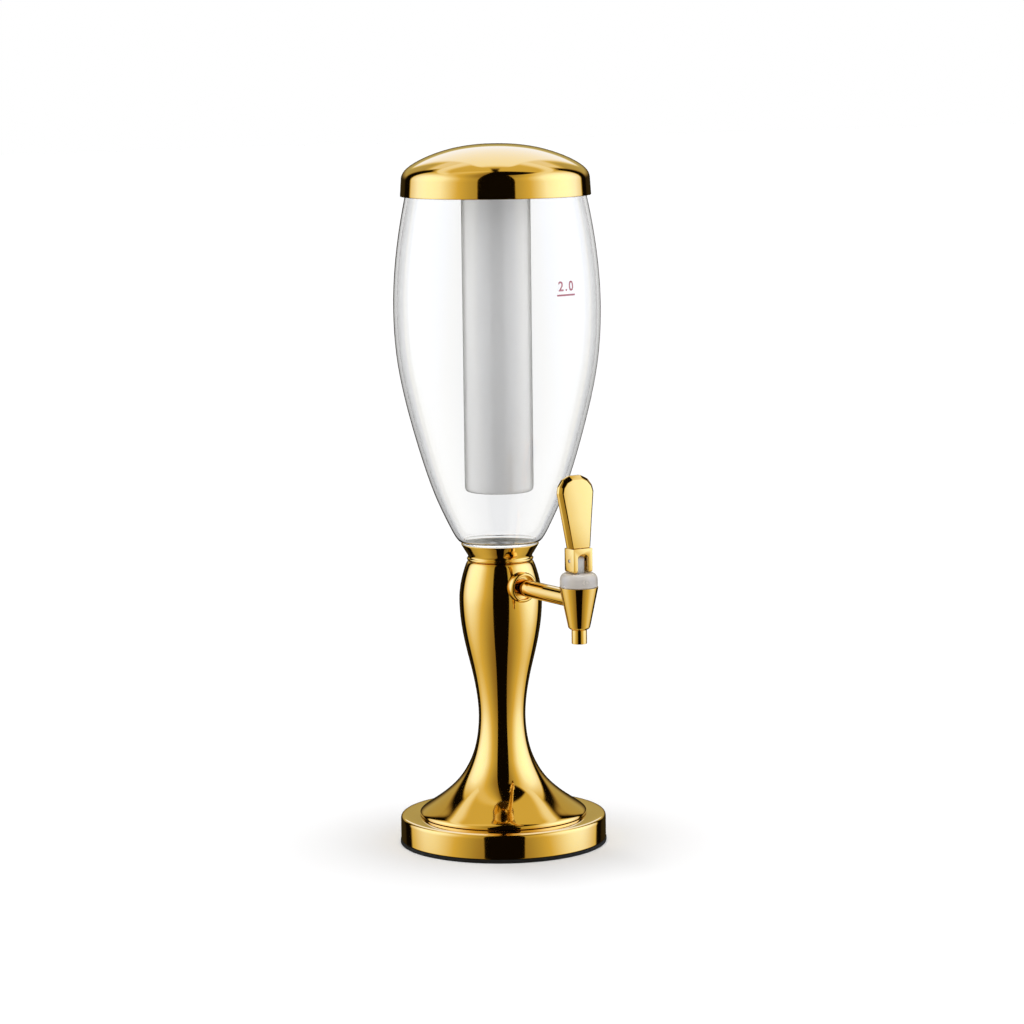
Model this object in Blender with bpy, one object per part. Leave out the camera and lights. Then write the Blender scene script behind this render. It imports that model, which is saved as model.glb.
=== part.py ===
"""Beer tower dispenser: a weighted base, a flared column, a clear tank with an ice tube, and a lever tap.

Metres, +Z up. The origin is the centre of the face that it stands on, and the tap points along -Y.
"""
import math

import bmesh
import bpy
from mathutils import Matrix, Vector

# Clearances and fineness
GAP = 0.0003  # between pieces that touch
OVERRUN = 0.004  # how far a cutter passes a face
SIDES = 36
TAP_SIDES = 24
SMALL_SIDES = 16
ARC_STEPS = 3
INNER_WALL_STEPS = 2  # an inner wall follows every second point of the outer one

# Base
BASE_RADIUS = 0.0775
MAT_THICKNESS = 0.0026
MAT_OVERHANG = 0.0004  # beyond the rim
RIM_HEIGHT = 0.0184
RIM_WALL = 0.002
SHOULDER_WIDTH = 0.0026
SHOULDER_HEIGHT = 0.0026
RIM_LEDGE = 0.0033  # how far the column's foot overlaps the rim
PLATE_THICKNESS = 0.003
PLATE_RING_INSET = 0.007
PLATE_RING_WALL = 0.0022
WEIGHT_THICKNESS = 0.010
WEIGHT_BORE_RADIUS = 0.012
SCREW_COUNT = 4
SCREW_CIRCLE_RADIUS = 0.045
SCREW_RADIUS = 0.0015
SCREW_GRIP = 0.009  # thread inside the boss
SCREW_HEAD_RADIUS = 0.0033
SCREW_HEAD_HEIGHT = 0.0015
SCREW_SLOT_WIDTH = 0.0009
SCREW_HEAD_SINK = 0.0003
BOSS_RADIUS = 0.0042

# Column
FOOT_RADIUS = 0.0628
FOOT_EDGE = 0.0022
FOOT_WALL = 0.003
WAIST_RADIUS = 0.0173
WAIST_HEIGHT = 0.0734
BELLY_RADIUS = 0.0312
BELLY_HEIGHT = 0.1624
NECK_RADIUS = 0.0246
COLUMN_HEIGHT = 0.193
COLUMN_WALL = 0.002
COLUMN_BORE_RADIUS = 0.022

# Height and radius between the foot and the waist, as shares of the flare
FLARE_SHARES = (
    (0.03, 0.95), (0.09, 0.82), (0.17, 0.65), (0.25, 0.465), (0.34, 0.325), (0.45, 0.205), (0.6, 0.095),
    (0.8, 0.022),
)
# Height and loss of radius between the belly and the neck
NECK_SHARES = ((0.22, 0.06), (0.45, 0.22), (0.68, 0.475), (0.87, 0.755), (1.0, 1.0))
BELLY_STEPS = 7

# Collar
COLLAR_FOOT_RADIUS = 0.0239
COLLAR_LIP_RADIUS = 0.0294
COLLAR_HEIGHT = 0.0125
COLLAR_WALL = 0.0014
COLLAR_FLOOR = 0.0022
COLLAR_SPIGOT_WALL = 0.0023
COLLAR_SPIGOT_LENGTH = 0.0055
# Height and radius of the hollow cone, as shares
COLLAR_SHARES = ((0.0, 0.0), (0.15, 0.03), (0.4, 0.24), (0.7, 0.6), (1.0, 1.0))

# Tank
TANK_RADIUS = 0.0771
TANK_BODY_HEIGHT = 0.2638
TANK_WALL = 0.0025
TANK_FLOOR = 0.0025
TANK_SEAT_RADIUS = 0.0214
TANK_NECK_RADIUS = 0.013
TANK_NECK_LENGTH = 0.012
TANK_SHARES = (
    (0.0026, 0.388), (0.013, 0.425), (0.05, 0.488), (0.1, 0.57), (0.15, 0.645), (0.22, 0.722),
    (0.3, 0.803), (0.39, 0.885), (0.48, 0.951), (0.56, 0.987), (0.65, 1.0), (0.74, 0.993), (0.83, 0.964),
    (0.915, 0.918), (1.0, 0.861),
)
SEAL_THICKNESS = 0.0015
TANK_SEAL_WIDTH = 0.006
NUT_THICKNESS = 0.006
TANK_NUT_RADIUS = 0.0188

# Outlet under the tank
FITTING_RADIUS = 0.0065
FITTING_BORE_RADIUS = 0.004
FITTING_FLANGE_RADIUS = 0.011
FITTING_FLANGE_THICKNESS = 0.0018
FITTING_TAIL = 0.0045  # below the tank's neck
ELBOW_RADIUS = 0.0082
ELBOW_WALL_FLOOR = 0.004
ELBOW_DROP = 0.0052  # from the fitting's tail to the shank's axis
ELBOW_CLEARANCE = 0.0017  # behind the locknut

# Shank from the column to the tap
SHANK_RADIUS = 0.00635
SHANK_BORE_RADIUS = 0.0035
SHANK_SOCKET_DEPTH = 0.0055
LOCKNUT_RADIUS = 0.0098
LOCKNUT_THICKNESS = 0.0045
SADDLE_RADIUS = 0.0095
SADDLE_THICKNESS = 0.0048
FLANGE_RADIUS = 0.0116
FLANGE_DEPTH = 0.0028  # in front of the column's wall
FLANGE_HUB_RADIUS = 0.0092
FLANGE_HUB_DEPTH = 0.0046
FLANGE_RECESS_RADIUS = 0.0078
FLANGE_RECESS_DEPTH = 0.002
FLANGE_EDGE = 0.0009

# Tap body and valve
TAP_REACH = 0.107
TAP_RISE = 0.010  # of the tap body above the shank's axis
TAP_TOP_RADIUS = 0.0142
TAP_FOOT_RADIUS = 0.008
TAP_LENGTH = 0.0308
TAP_EDGE = 0.0012
CHAMBER_RADIUS = 0.0072
CHAMBER_DEPTH = 0.021
CHAMBER_STEP_WIDTH = 0.001
CHAMBER_STEP_DEPTH = 0.004
SEAT_HOLE_RADIUS = 0.0034
TAP_PORT_RADIUS = 0.0034
TAP_SOCKET_WALL = 0.0013
NOZZLE_RADIUS = 0.0056
NOZZLE_WALL = 0.0022
NOZZLE_LENGTH = 0.0104
NOZZLE_SPIGOT_LENGTH = 0.0052
NOZZLE_SPIGOT_STEP = 0.0006
BONNET_RADIUS = 0.0138
BONNET_HEIGHT = 0.010
BONNET_CHAMFER = 0.002
BONNET_EDGE = 0.0005
BONNET_ROOF = 0.002
BONNET_HOLE_RADIUS = 0.0044
BONNET_SKIRT_LENGTH = 0.0022
BONNET_SKIRT_WALL = 0.0013
STEM_SEAL_THICKNESS = 0.0014

# Stem
STEM_RADIUS = 0.003
STEM_SHOULDER_RADIUS = 0.0062
STEM_SHOULDER_THICKNESS = 0.0015
STEM_TAIL = 0.012  # below the shoulder
BLADE_WIDTH = 0.006
BLADE_DEPTH = 0.006
BLADE_ARC_STEPS = 8
SEAT_CUP_RADIUS = 0.0055
SEAT_CUP_WALL = 0.0016
SEAT_CUP_TIP_RADIUS = 0.0024
SEAT_CUP_DEPTH = 0.006  # of the hole for the stem
WIRE_RADIUS = 0.0004
SPRING_RADIUS = 0.005
SPRING_TURNS = 4
SPRING_POINTS_PER_TURN = 9

# Lever
PIN_RISE = 0.0089  # of the pivot above the yoke's foot
PIN_RADIUS = 0.0011
PIN_RECESS = 0.0003
YOKE_WIDTH = 0.0162
YOKE_DEPTH = 0.0123
YOKE_HEIGHT = 0.0179
YOKE_FOOT_EDGE = 0.002
YOKE_EDGE = 0.0008
SLOT_WIDTH = 0.009
SLOT_HEIGHT = 0.0139
STUD_RADIUS = 0.0022
STUD_LENGTH = 0.012
STUD_SEAT = 0.0034  # into the yoke's roof
PADDLE_HEIGHT = 0.0522
PADDLE_HALF_WIDTH = 0.0152
PADDLE_THICKNESS = 0.0084
PADDLE_SIDE = 0.0027
PADDLE_LEAN = 0.005  # of the top towards the tank
# Half width and height along the outer edge and along the raised face
PADDLE_EDGE_SHARES = (
    (0.62, 0.0), (0.81, 0.4), (1.0, 0.765), (0.93, 0.855), (0.7, 0.945), (0.32, 1.0),
)
PADDLE_FACE_SHARES = (
    (0.45, 0.0), (0.635, 0.4), (0.82, 0.765), (0.75, 0.84), (0.56, 0.905), (0.27, 0.942),
)

# Lid, its white insert and the ice tube
LID_RADIUS = 0.0707
LID_SKIRT_HEIGHT = 0.0131
LID_SKIRT_DRAFT = 0.0009
LID_DOME_HEIGHT = 0.025
LID_WALL = 0.0021
LID_OVERHANG = 0.0046  # of the skirt below the tank's edge
LID_SHARES = (
    (0.972, 0.13), (0.93, 0.3), (0.86, 0.44), (0.753, 0.592), (0.61, 0.745), (0.42, 0.895), (0.2, 0.98),
)
INSERT_THICKNESS = 0.0026
PLUG_DEPTH = 0.0072
PLUG_WALL = 0.002
PLUG_CLEARANCE = 0.001
SOCKET_DEPTH = 0.0076
SOCKET_WALL = 0.0024
ICE_TUBE_RADIUS = 0.0257
ICE_TUBE_WALL = 0.002
ICE_TUBE_FLOOR_GAP = 0.0373  # above the foot of the tank's body
ICE_TUBE_EDGE = 0.004
ICE_TUBE_COLLAR = 0.0018
ICE_TUBE_COLLAR_LENGTH = 0.0056

# Heights that follow from the sizes above
RIM_FOOT_Z = MAT_THICKNESS + GAP
RIM_TOP_Z = RIM_FOOT_Z + RIM_HEIGHT
PLATE_TOP_Z = RIM_FOOT_Z + PLATE_THICKNESS
WEIGHT_FOOT_Z = PLATE_TOP_Z + GAP
COLUMN_FOOT_Z = RIM_TOP_Z + GAP
COLUMN_TOP_Z = COLUMN_FOOT_Z + COLUMN_HEIGHT
COLLAR_FOOT_Z = COLUMN_TOP_Z + GAP
COLLAR_FLOOR_Z = COLLAR_FOOT_Z + COLLAR_FLOOR
COLLAR_LIP_Z = COLLAR_FOOT_Z + COLLAR_HEIGHT
TANK_SEAT_Z = COLLAR_FLOOR_Z + GAP + SEAL_THICKNESS + GAP
TANK_FLOOR_Z = TANK_SEAT_Z + TANK_FLOOR
TANK_NECK_Z = TANK_SEAT_Z - TANK_NECK_LENGTH
TANK_BODY_Z = COLLAR_LIP_Z + GAP
TANK_TOP_Z = TANK_BODY_Z + TANK_BODY_HEIGHT
SHANK_Z = TANK_NECK_Z - FITTING_TAIL - ELBOW_DROP
TAP_TOP_Z = SHANK_Z + TAP_RISE
BONNET_FOOT_Z = TAP_TOP_Z + GAP
BONNET_TOP_Z = BONNET_FOOT_Z + BONNET_HEIGHT
CHAMBER_STEP_Z = TAP_TOP_Z - CHAMBER_STEP_DEPTH
STEM_SEAL_Z = CHAMBER_STEP_Z + GAP
STEM_SHOULDER_Z = STEM_SEAL_Z + STEM_SEAL_THICKNESS + GAP
YOKE_FOOT_Z = BONNET_TOP_Z + GAP
PIN_Z = YOKE_FOOT_Z + PIN_RISE
LID_FOOT_Z = TANK_TOP_Z - LID_OVERHANG
LID_SEAL_Z = TANK_TOP_Z + GAP
INSERT_FOOT_Z = LID_SEAL_Z + SEAL_THICKNESS + GAP
ICE_TUBE_TOP_Z = INSERT_FOOT_Z - GAP - SEAL_THICKNESS - GAP
ICE_TUBE_FOOT_Z = TANK_BODY_Z + ICE_TUBE_FLOOR_GAP

# Radii that follow
MAT_RADIUS = BASE_RADIUS + MAT_OVERHANG
PLATE_RADIUS = BASE_RADIUS - RIM_WALL - GAP
PLATE_RING_RADIUS = PLATE_RADIUS - PLATE_RING_INSET + PLATE_RING_WALL
WEIGHT_RADIUS = PLATE_RING_RADIUS - PLATE_RING_WALL - GAP
COLLAR_SPIGOT_RADIUS = COLUMN_BORE_RADIUS - GAP
COLLAR_HOLE_RADIUS = TANK_NECK_RADIUS + GAP
TANK_BORE_RADIUS = FITTING_RADIUS + GAP
SHANK_HOLE_RADIUS = SHANK_RADIUS + GAP
ICE_TUBE_COLLAR_RADIUS = ICE_TUBE_RADIUS + ICE_TUBE_COLLAR
SOCKET_RADIUS = ICE_TUBE_COLLAR_RADIUS + GAP
STEM_LIFT_PER_RADIAN = YOKE_DEPTH / 2 - YOKE_FOOT_EDGE


def material(name, colour, roughness, metallic=0.0, transmission=0.0):
    made = bpy.data.materials.new(name)
    made.use_nodes = True
    shader = made.node_tree.nodes["Principled BSDF"]
    shader.inputs["Base Color"].default_value = (*colour, 1.0)
    shader.inputs["Roughness"].default_value = roughness
    shader.inputs["Metallic"].default_value = metallic
    shader.inputs["Transmission Weight"].default_value = transmission
    made.diffuse_color = (*colour, 1.0)
    return made


def finished(mesh_maker, name, finish, parent=None, helper=False):
    """An object from a bmesh, smooth where it is round."""
    bmesh.ops.recalc_face_normals(mesh_maker, faces=mesh_maker.faces)
    mesh = bpy.data.meshes.new(name)
    mesh_maker.to_mesh(mesh)
    mesh_maker.free()
    mesh.shade_smooth()
    mesh.set_sharp_from_angle(angle=math.radians(30))
    made = bpy.data.objects.new(name, mesh)
    bpy.context.scene.collection.objects.link(made)
    made.parent = parent
    if helper:
        made.hide_render = True
        made.display_type = "WIRE"
    else:
        mesh.materials.append(finish)
    return made


def turned(name, outline, finish=None, sides=SIDES, parent=None, helper=False):
    """A piece turned round the Z axis. An outline that starts and ends on the axis stays open there."""
    maker = bmesh.new()
    points = [maker.verts.new((radius, 0, height)) for radius, height in outline]
    pairs = list(zip(points, points[1:]))
    if outline[0][0] or outline[-1][0]:
        pairs.append((points[-1], points[0]))
    edges = [maker.edges.new(pair) for pair in pairs]
    bmesh.ops.spin(
        maker, geom=points + edges, cent=(0, 0, 0), axis=(0, 0, 1), angle=2 * math.pi, steps=sides,
        use_merge=True,
    )
    bmesh.ops.remove_doubles(maker, verts=maker.verts, dist=GAP / 100)
    return finished(maker, name, finish, parent, helper)


def ring(name, inner, outer, low, high, finish=None, sides=SIDES, parent=None):
    outline = [(outer, low), (outer, high), (inner, high), (inner, low)]
    return turned(name, outline, finish, sides, parent)


def rod(name, radius, start, end, finish=None, sides=SMALL_SIDES, parent=None, helper=True):
    """A round bar between two points, by default a cutter."""
    start, end = Vector(start), Vector(end)
    along = end - start
    maker = bmesh.new()
    place = Matrix.Translation((start + end) / 2) @ along.to_track_quat("Z", "X").to_matrix().to_4x4()
    bmesh.ops.create_cone(
        maker, cap_ends=True, segments=sides, radius1=radius, radius2=radius, depth=along.length,
        matrix=place,
    )
    return finished(maker, name, finish, parent, helper)


def extruded(name, outline, direction, finish=None, parent=None, helper=False):
    """A flat outline, moved along a direction to make a solid."""
    maker = bmesh.new()
    face = maker.faces.new([maker.verts.new(point) for point in outline])
    grown = bmesh.ops.extrude_face_region(maker, geom=[face])["geom"]
    moved = [item for item in grown if isinstance(item, bmesh.types.BMVert)]
    bmesh.ops.translate(maker, verts=moved, vec=direction)
    return finished(maker, name, finish, parent, helper)


def boolean(target, tool, operation="DIFFERENCE"):
    step = target.modifiers.new(f"{operation.lower()} {tool.name}", "BOOLEAN")
    step.operation = operation
    step.solver = "EXACT"
    step.object = tool


def arc(centre, radii, start, stop, steps=ARC_STEPS):
    """Points on a quarter of an ellipse, with the angles in degrees."""
    angles = [math.radians(start + (stop - start) * step / steps) for step in range(steps + 1)]
    return [
        (centre[0] + radii[0] * math.cos(angle), centre[1] + radii[1] * math.sin(angle))
        for angle in angles
    ]


def inset(outline, distance):
    """The outline moved towards the axis by a wall's thickness, for an outline that runs upwards."""
    moved = []
    for index, (radius, height) in enumerate(outline):
        before = outline[max(index - 1, 0)]
        after = outline[min(index + 1, len(outline) - 1)]
        along = Vector((after[0] - before[0], after[1] - before[1])).normalized()
        moved.append((radius - along.y * distance, height + along.x * distance))
    return moved


def column_outline():
    """The outer side of the column, from the top of its foot's edge to its neck."""
    flare_foot = COLUMN_FOOT_Z + FOOT_EDGE
    waist_z = COLUMN_FOOT_Z + WAIST_HEIGHT
    belly_z = COLUMN_FOOT_Z + BELLY_HEIGHT
    points = [(FOOT_RADIUS, flare_foot)]
    for rise, width in FLARE_SHARES:
        radius = WAIST_RADIUS + width * (FOOT_RADIUS - WAIST_RADIUS)
        points.append((radius, flare_foot + rise * (waist_z - flare_foot)))
    for step in range(BELLY_STEPS + 1):
        share = step / BELLY_STEPS
        swell = (1 - math.cos(math.pi * share)) / 2
        radius = WAIST_RADIUS + swell * (BELLY_RADIUS - WAIST_RADIUS)
        points.append((radius, waist_z + share * (belly_z - waist_z)))
    for rise, loss in NECK_SHARES:
        radius = BELLY_RADIUS - loss * (BELLY_RADIUS - NECK_RADIUS)
        points.append((radius, belly_z + rise * (COLUMN_TOP_Z - belly_z)))
    return points


def column_walls(depth):
    """The inner side of the column, at a depth under its outer side, up to the bore for the collar."""
    bore_foot_z = COLLAR_FOOT_Z - COLLAR_SPIGOT_LENGTH - GAP
    walls = [
        (radius, height) for radius, height in inset(column_outline(), depth)[::INNER_WALL_STEPS]
        if radius < FOOT_RADIUS - FOOT_WALL and COLUMN_FOOT_Z < height < bore_foot_z
    ]
    return [*walls, (COLUMN_BORE_RADIUS + COLUMN_WALL - depth, bore_foot_z)]


def radius_at(outline, height):
    """The radius of an upward outline at one height."""
    for (low_radius, low), (high_radius, high) in zip(outline, outline[1:]):
        if low <= height <= high:
            return low_radius + (high_radius - low_radius) * (height - low) / (high - low)
    return outline[-1][0]


def elbow_reach():
    """How far the elbow goes towards the tap, to just behind the locknut."""
    wall_inner = radius_at(column_walls(COLUMN_WALL), SHANK_Z)
    return wall_inner - SADDLE_THICKNESS - GAP - LOCKNUT_THICKNESS - ELBOW_CLEARANCE


def screw_places():
    for number in range(SCREW_COUNT):
        angle = 2 * math.pi * (number + 0.5) / SCREW_COUNT
        place = SCREW_CIRCLE_RADIUS * Vector((math.cos(angle), math.sin(angle), 0))
        yield number + 1, place


def make_base(gold, black, iron, rubber, steel):
    turned(
        "anti_slip_mat", [(0, 0), (MAT_RADIUS, 0), (MAT_RADIUS, MAT_THICKNESS), (0, MAT_THICKNESS)], rubber
    )

    ring_top_z = RIM_TOP_Z - RIM_WALL - GAP
    ring_inner = PLATE_RING_RADIUS - PLATE_RING_WALL
    plate = turned("base_plate", [
        (0, RIM_FOOT_Z), (PLATE_RADIUS, RIM_FOOT_Z), (PLATE_RADIUS, PLATE_TOP_Z),
        (PLATE_RING_RADIUS, PLATE_TOP_Z), (PLATE_RING_RADIUS, ring_top_z), (ring_inner, ring_top_z),
        (ring_inner, PLATE_TOP_Z), (0, PLATE_TOP_Z),
    ], black)

    weight = ring(
        "base_weight", WEIGHT_BORE_RADIUS, WEIGHT_RADIUS, WEIGHT_FOOT_Z, WEIGHT_FOOT_Z + WEIGHT_THICKNESS,
        iron,
    )

    shoulder_centre = (BASE_RADIUS - SHOULDER_WIDTH, RIM_TOP_Z - SHOULDER_HEIGHT)
    outer = arc(shoulder_centre, (SHOULDER_WIDTH, SHOULDER_HEIGHT), 0, 90)
    inner = arc(shoulder_centre, (SHOULDER_WIDTH - RIM_WALL, SHOULDER_HEIGHT - RIM_WALL), 90, 0)
    hole_radius = FOOT_RADIUS - RIM_LEDGE
    turned("base_rim", [
        (BASE_RADIUS, RIM_FOOT_Z), *outer, (hole_radius, RIM_TOP_Z), (hole_radius, RIM_TOP_Z - RIM_WALL),
        *inner, (BASE_RADIUS - RIM_WALL, RIM_FOOT_Z),
    ], gold)

    head_z = RIM_FOOT_Z + SCREW_HEAD_SINK
    sink_z = head_z + SCREW_HEAD_HEIGHT
    for number, place in screw_places():
        boss_hole = rod(
            f"weight_hole_{number}", BOSS_RADIUS + GAP, place, place + Vector((0, 0, COLUMN_FOOT_Z)),
            sides=SMALL_SIDES,
        )
        boolean(weight, boss_hole)
        head_hole = turned(f"plate_hole_{number}", [
            (0, 0), (SCREW_HEAD_RADIUS + GAP, 0), (SCREW_HEAD_RADIUS + GAP, sink_z + GAP),
            (SCREW_RADIUS + GAP, sink_z + GAP), (SCREW_RADIUS + GAP, PLATE_TOP_Z + OVERRUN),
            (0, PLATE_TOP_Z + OVERRUN),
        ], sides=SMALL_SIDES, helper=True)
        head_hole.location = place
        boolean(plate, head_hole)
        thread_top_z = WEIGHT_FOOT_Z + SCREW_GRIP
        screw = turned(f"base_screw_{number}", [
            (0, head_z), (SCREW_HEAD_RADIUS, head_z), (SCREW_HEAD_RADIUS, sink_z), (SCREW_RADIUS, sink_z),
            (SCREW_RADIUS, thread_top_z - SCREW_RADIUS), (0, thread_top_z),
        ], steel, SMALL_SIDES)
        screw.location = place
        slot_half = SCREW_SLOT_WIDTH / 2
        slot_z = head_z + SCREW_HEAD_HEIGHT / 2
        slot = extruded(f"screw_slot_{number}", [
            (-SCREW_HEAD_RADIUS - OVERRUN, -slot_half, 0), (SCREW_HEAD_RADIUS + OVERRUN, -slot_half, 0),
            (SCREW_HEAD_RADIUS + OVERRUN, slot_half, 0), (-SCREW_HEAD_RADIUS - OVERRUN, slot_half, 0),
        ], (0, 0, slot_z), helper=True)
        slot.location = place
        boolean(screw, slot)


def make_column(gold):
    """A shell that is open below and at the neck, with four bosses for the screws of the base."""
    outline = column_outline()
    column = turned("column", [
        (0, COLUMN_FOOT_Z), (FOOT_RADIUS, COLUMN_FOOT_Z), *outline, (0, COLUMN_TOP_Z),
    ], gold)

    foot_inner = FOOT_RADIUS - FOOT_WALL
    cavity = turned("column_cavity", [
        (0, COLUMN_FOOT_Z - OVERRUN), (foot_inner, COLUMN_FOOT_Z - OVERRUN), *column_walls(COLUMN_WALL),
        (COLUMN_BORE_RADIUS, COLUMN_TOP_Z + OVERRUN), (0, COLUMN_TOP_Z + OVERRUN),
    ], helper=True)
    boolean(column, cavity)

    middle = inset(outline, COLUMN_WALL / 2)
    boss_limit = turned("boss_limit", [
        (0, 0), (foot_inner, 0), *[point for point in middle if point[0] < foot_inner], (0, COLUMN_TOP_Z),
    ], helper=True)
    for number, place in screw_places():
        start = place + Vector((0, 0, WEIGHT_FOOT_Z))
        boss = rod(f"boss_{number}", BOSS_RADIUS, start, place + Vector((0, 0, COLUMN_TOP_Z)))
        boolean(boss, boss_limit, "INTERSECT")
        boolean(column, boss, "UNION")
        pilot_end = start + Vector((0, 0, SCREW_GRIP + GAP))
        pilot = rod(f"pilot_{number}", SCREW_RADIUS + GAP, place, pilot_end)
        boolean(column, pilot)

    axis = Vector((0, -1, 0))
    shank_centre = Vector((0, 0, SHANK_Z))
    hole = rod("column_shank_hole", SHANK_HOLE_RADIUS, shank_centre, shank_centre + axis * BASE_RADIUS)
    boolean(column, hole)


def make_collar(gold):
    cone = [
        (
            COLLAR_FOOT_RADIUS + width * (COLLAR_LIP_RADIUS - COLLAR_FOOT_RADIUS),
            COLLAR_FOOT_Z + rise * COLLAR_HEIGHT,
        )
        for rise, width in COLLAR_SHARES
    ]
    inner = [point for point in inset(cone, COLLAR_WALL) if COLLAR_FLOOR_Z < point[1] < COLLAR_LIP_Z]
    lip_inner = COLLAR_LIP_RADIUS - COLLAR_WALL
    floor_inner = COLLAR_FOOT_RADIUS - COLLAR_WALL
    spigot_z = COLLAR_FOOT_Z - COLLAR_SPIGOT_LENGTH
    spigot_inner = COLLAR_SPIGOT_RADIUS - COLLAR_SPIGOT_WALL
    turned("collar", [
        *cone, (lip_inner, COLLAR_LIP_Z), *reversed(inner), (floor_inner, COLLAR_FLOOR_Z),
        (COLLAR_HOLE_RADIUS, COLLAR_FLOOR_Z), (COLLAR_HOLE_RADIUS, COLLAR_FOOT_Z),
        (spigot_inner, COLLAR_FOOT_Z), (spigot_inner, spigot_z), (COLLAR_SPIGOT_RADIUS, spigot_z),
        (COLLAR_SPIGOT_RADIUS, COLLAR_FOOT_Z),
    ], gold)


def tank_outline():
    """The outer side of the tank above the collar."""
    return [
        (width * TANK_RADIUS, TANK_BODY_Z + rise * TANK_BODY_HEIGHT) for rise, width in TANK_SHARES
    ]


def make_tank(clear, silicone, white):
    body = tank_outline()
    inner = inset(body, TANK_WALL)[-1::-INNER_WALL_STEPS]
    rim_inner = body[-1][0] - TANK_WALL
    lip_inner = COLLAR_LIP_RADIUS - COLLAR_WALL - GAP
    lip_z = COLLAR_LIP_Z - COLLAR_WALL / 2
    turned("tank", [
        (TANK_BORE_RADIUS, TANK_NECK_Z), (TANK_NECK_RADIUS, TANK_NECK_Z), (TANK_NECK_RADIUS, TANK_SEAT_Z),
        (TANK_SEAT_RADIUS, TANK_SEAT_Z), (lip_inner - GAP, lip_z), (lip_inner, TANK_BODY_Z), *body,
        (rim_inner, TANK_TOP_Z), *inner[1:], (TANK_SEAT_RADIUS, TANK_FLOOR_Z),
        (TANK_BORE_RADIUS, TANK_FLOOR_Z),
    ], clear)

    seal_outer = TANK_SEAT_RADIUS - GAP
    ring(
        "tank_seal", seal_outer - TANK_SEAL_WIDTH, seal_outer, COLLAR_FLOOR_Z + GAP,
        COLLAR_FLOOR_Z + GAP + SEAL_THICKNESS, silicone,
    )
    make_nut(
        "tank_nut", TANK_NUT_RADIUS, COLLAR_HOLE_RADIUS, NUT_THICKNESS, white,
        (0, 0, COLLAR_FOOT_Z - GAP - NUT_THICKNESS / 2), (0, 0, 0),
    )


def make_nut(name, corner_radius, bore_radius, thickness, finish, location, turn):
    """A hexagonal nut, centred on its place."""
    outline = [
        (corner_radius * math.cos(math.pi * side / 3), corner_radius * math.sin(math.pi * side / 3),
         -thickness / 2)
        for side in range(6)
    ]
    nut = extruded(name, outline, (0, 0, thickness), finish)
    bore = rod(
        name + "_bore", bore_radius, (0, 0, -thickness - OVERRUN), (0, 0, thickness + OVERRUN), parent=nut
    )
    boolean(nut, bore)
    nut.location = location
    nut.rotation_euler = turn
    return nut


def make_outlet(steel, silicone, white):
    """The fitting in the tank's floor, and the elbow that leads to the shank."""
    seal_z = TANK_FLOOR_Z + GAP
    flange_z = seal_z + SEAL_THICKNESS + GAP
    flange_top_z = flange_z + FITTING_FLANGE_THICKNESS
    tail_z = TANK_NECK_Z - FITTING_TAIL
    ring(
        "outlet_seal", TANK_BORE_RADIUS, FITTING_FLANGE_RADIUS - GAP, seal_z, seal_z + SEAL_THICKNESS,
        silicone, SMALL_SIDES,
    )
    turned("outlet_fitting", [
        (FITTING_BORE_RADIUS, tail_z), (FITTING_RADIUS, tail_z), (FITTING_RADIUS, flange_z),
        (FITTING_FLANGE_RADIUS, flange_z), (FITTING_FLANGE_RADIUS, flange_top_z),
        (FITTING_BORE_RADIUS, flange_top_z),
    ], steel, SMALL_SIDES)

    centre = Vector((0, 0, SHANK_Z))
    axis = Vector((0, -1, 0))
    socket_top_z = TANK_NECK_Z - GAP
    socket_z = tail_z - GAP
    bottom_z = SHANK_Z - SHANK_BORE_RADIUS - ELBOW_WALL_FLOOR
    elbow = turned("outlet_elbow", [
        (0, bottom_z), (ELBOW_RADIUS / 2, bottom_z), (ELBOW_RADIUS, bottom_z + ELBOW_RADIUS / 4),
        (ELBOW_RADIUS, socket_top_z), (0, socket_top_z),
    ], white, SMALL_SIDES)
    reach = elbow_reach()
    leg = rod("elbow_leg", ELBOW_RADIUS - GAP, centre, centre + axis * reach)
    boolean(elbow, leg, "UNION")
    well = turned("elbow_well", [
        (0, SHANK_Z), (FITTING_BORE_RADIUS, SHANK_Z), (FITTING_BORE_RADIUS, socket_z),
        (TANK_BORE_RADIUS, socket_z), (TANK_BORE_RADIUS, socket_top_z + OVERRUN),
        (0, socket_top_z + OVERRUN),
    ], sides=SMALL_SIDES, helper=True)
    boolean(elbow, well)
    way = rod("elbow_way", SHANK_BORE_RADIUS, centre, centre + axis * (reach + OVERRUN))
    boolean(elbow, way)
    mouth = rod(
        "elbow_mouth", SHANK_HOLE_RADIUS, centre + axis * (reach - SHANK_SOCKET_DEPTH),
        centre + axis * (reach + OVERRUN),
    )
    boolean(elbow, mouth)


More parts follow.
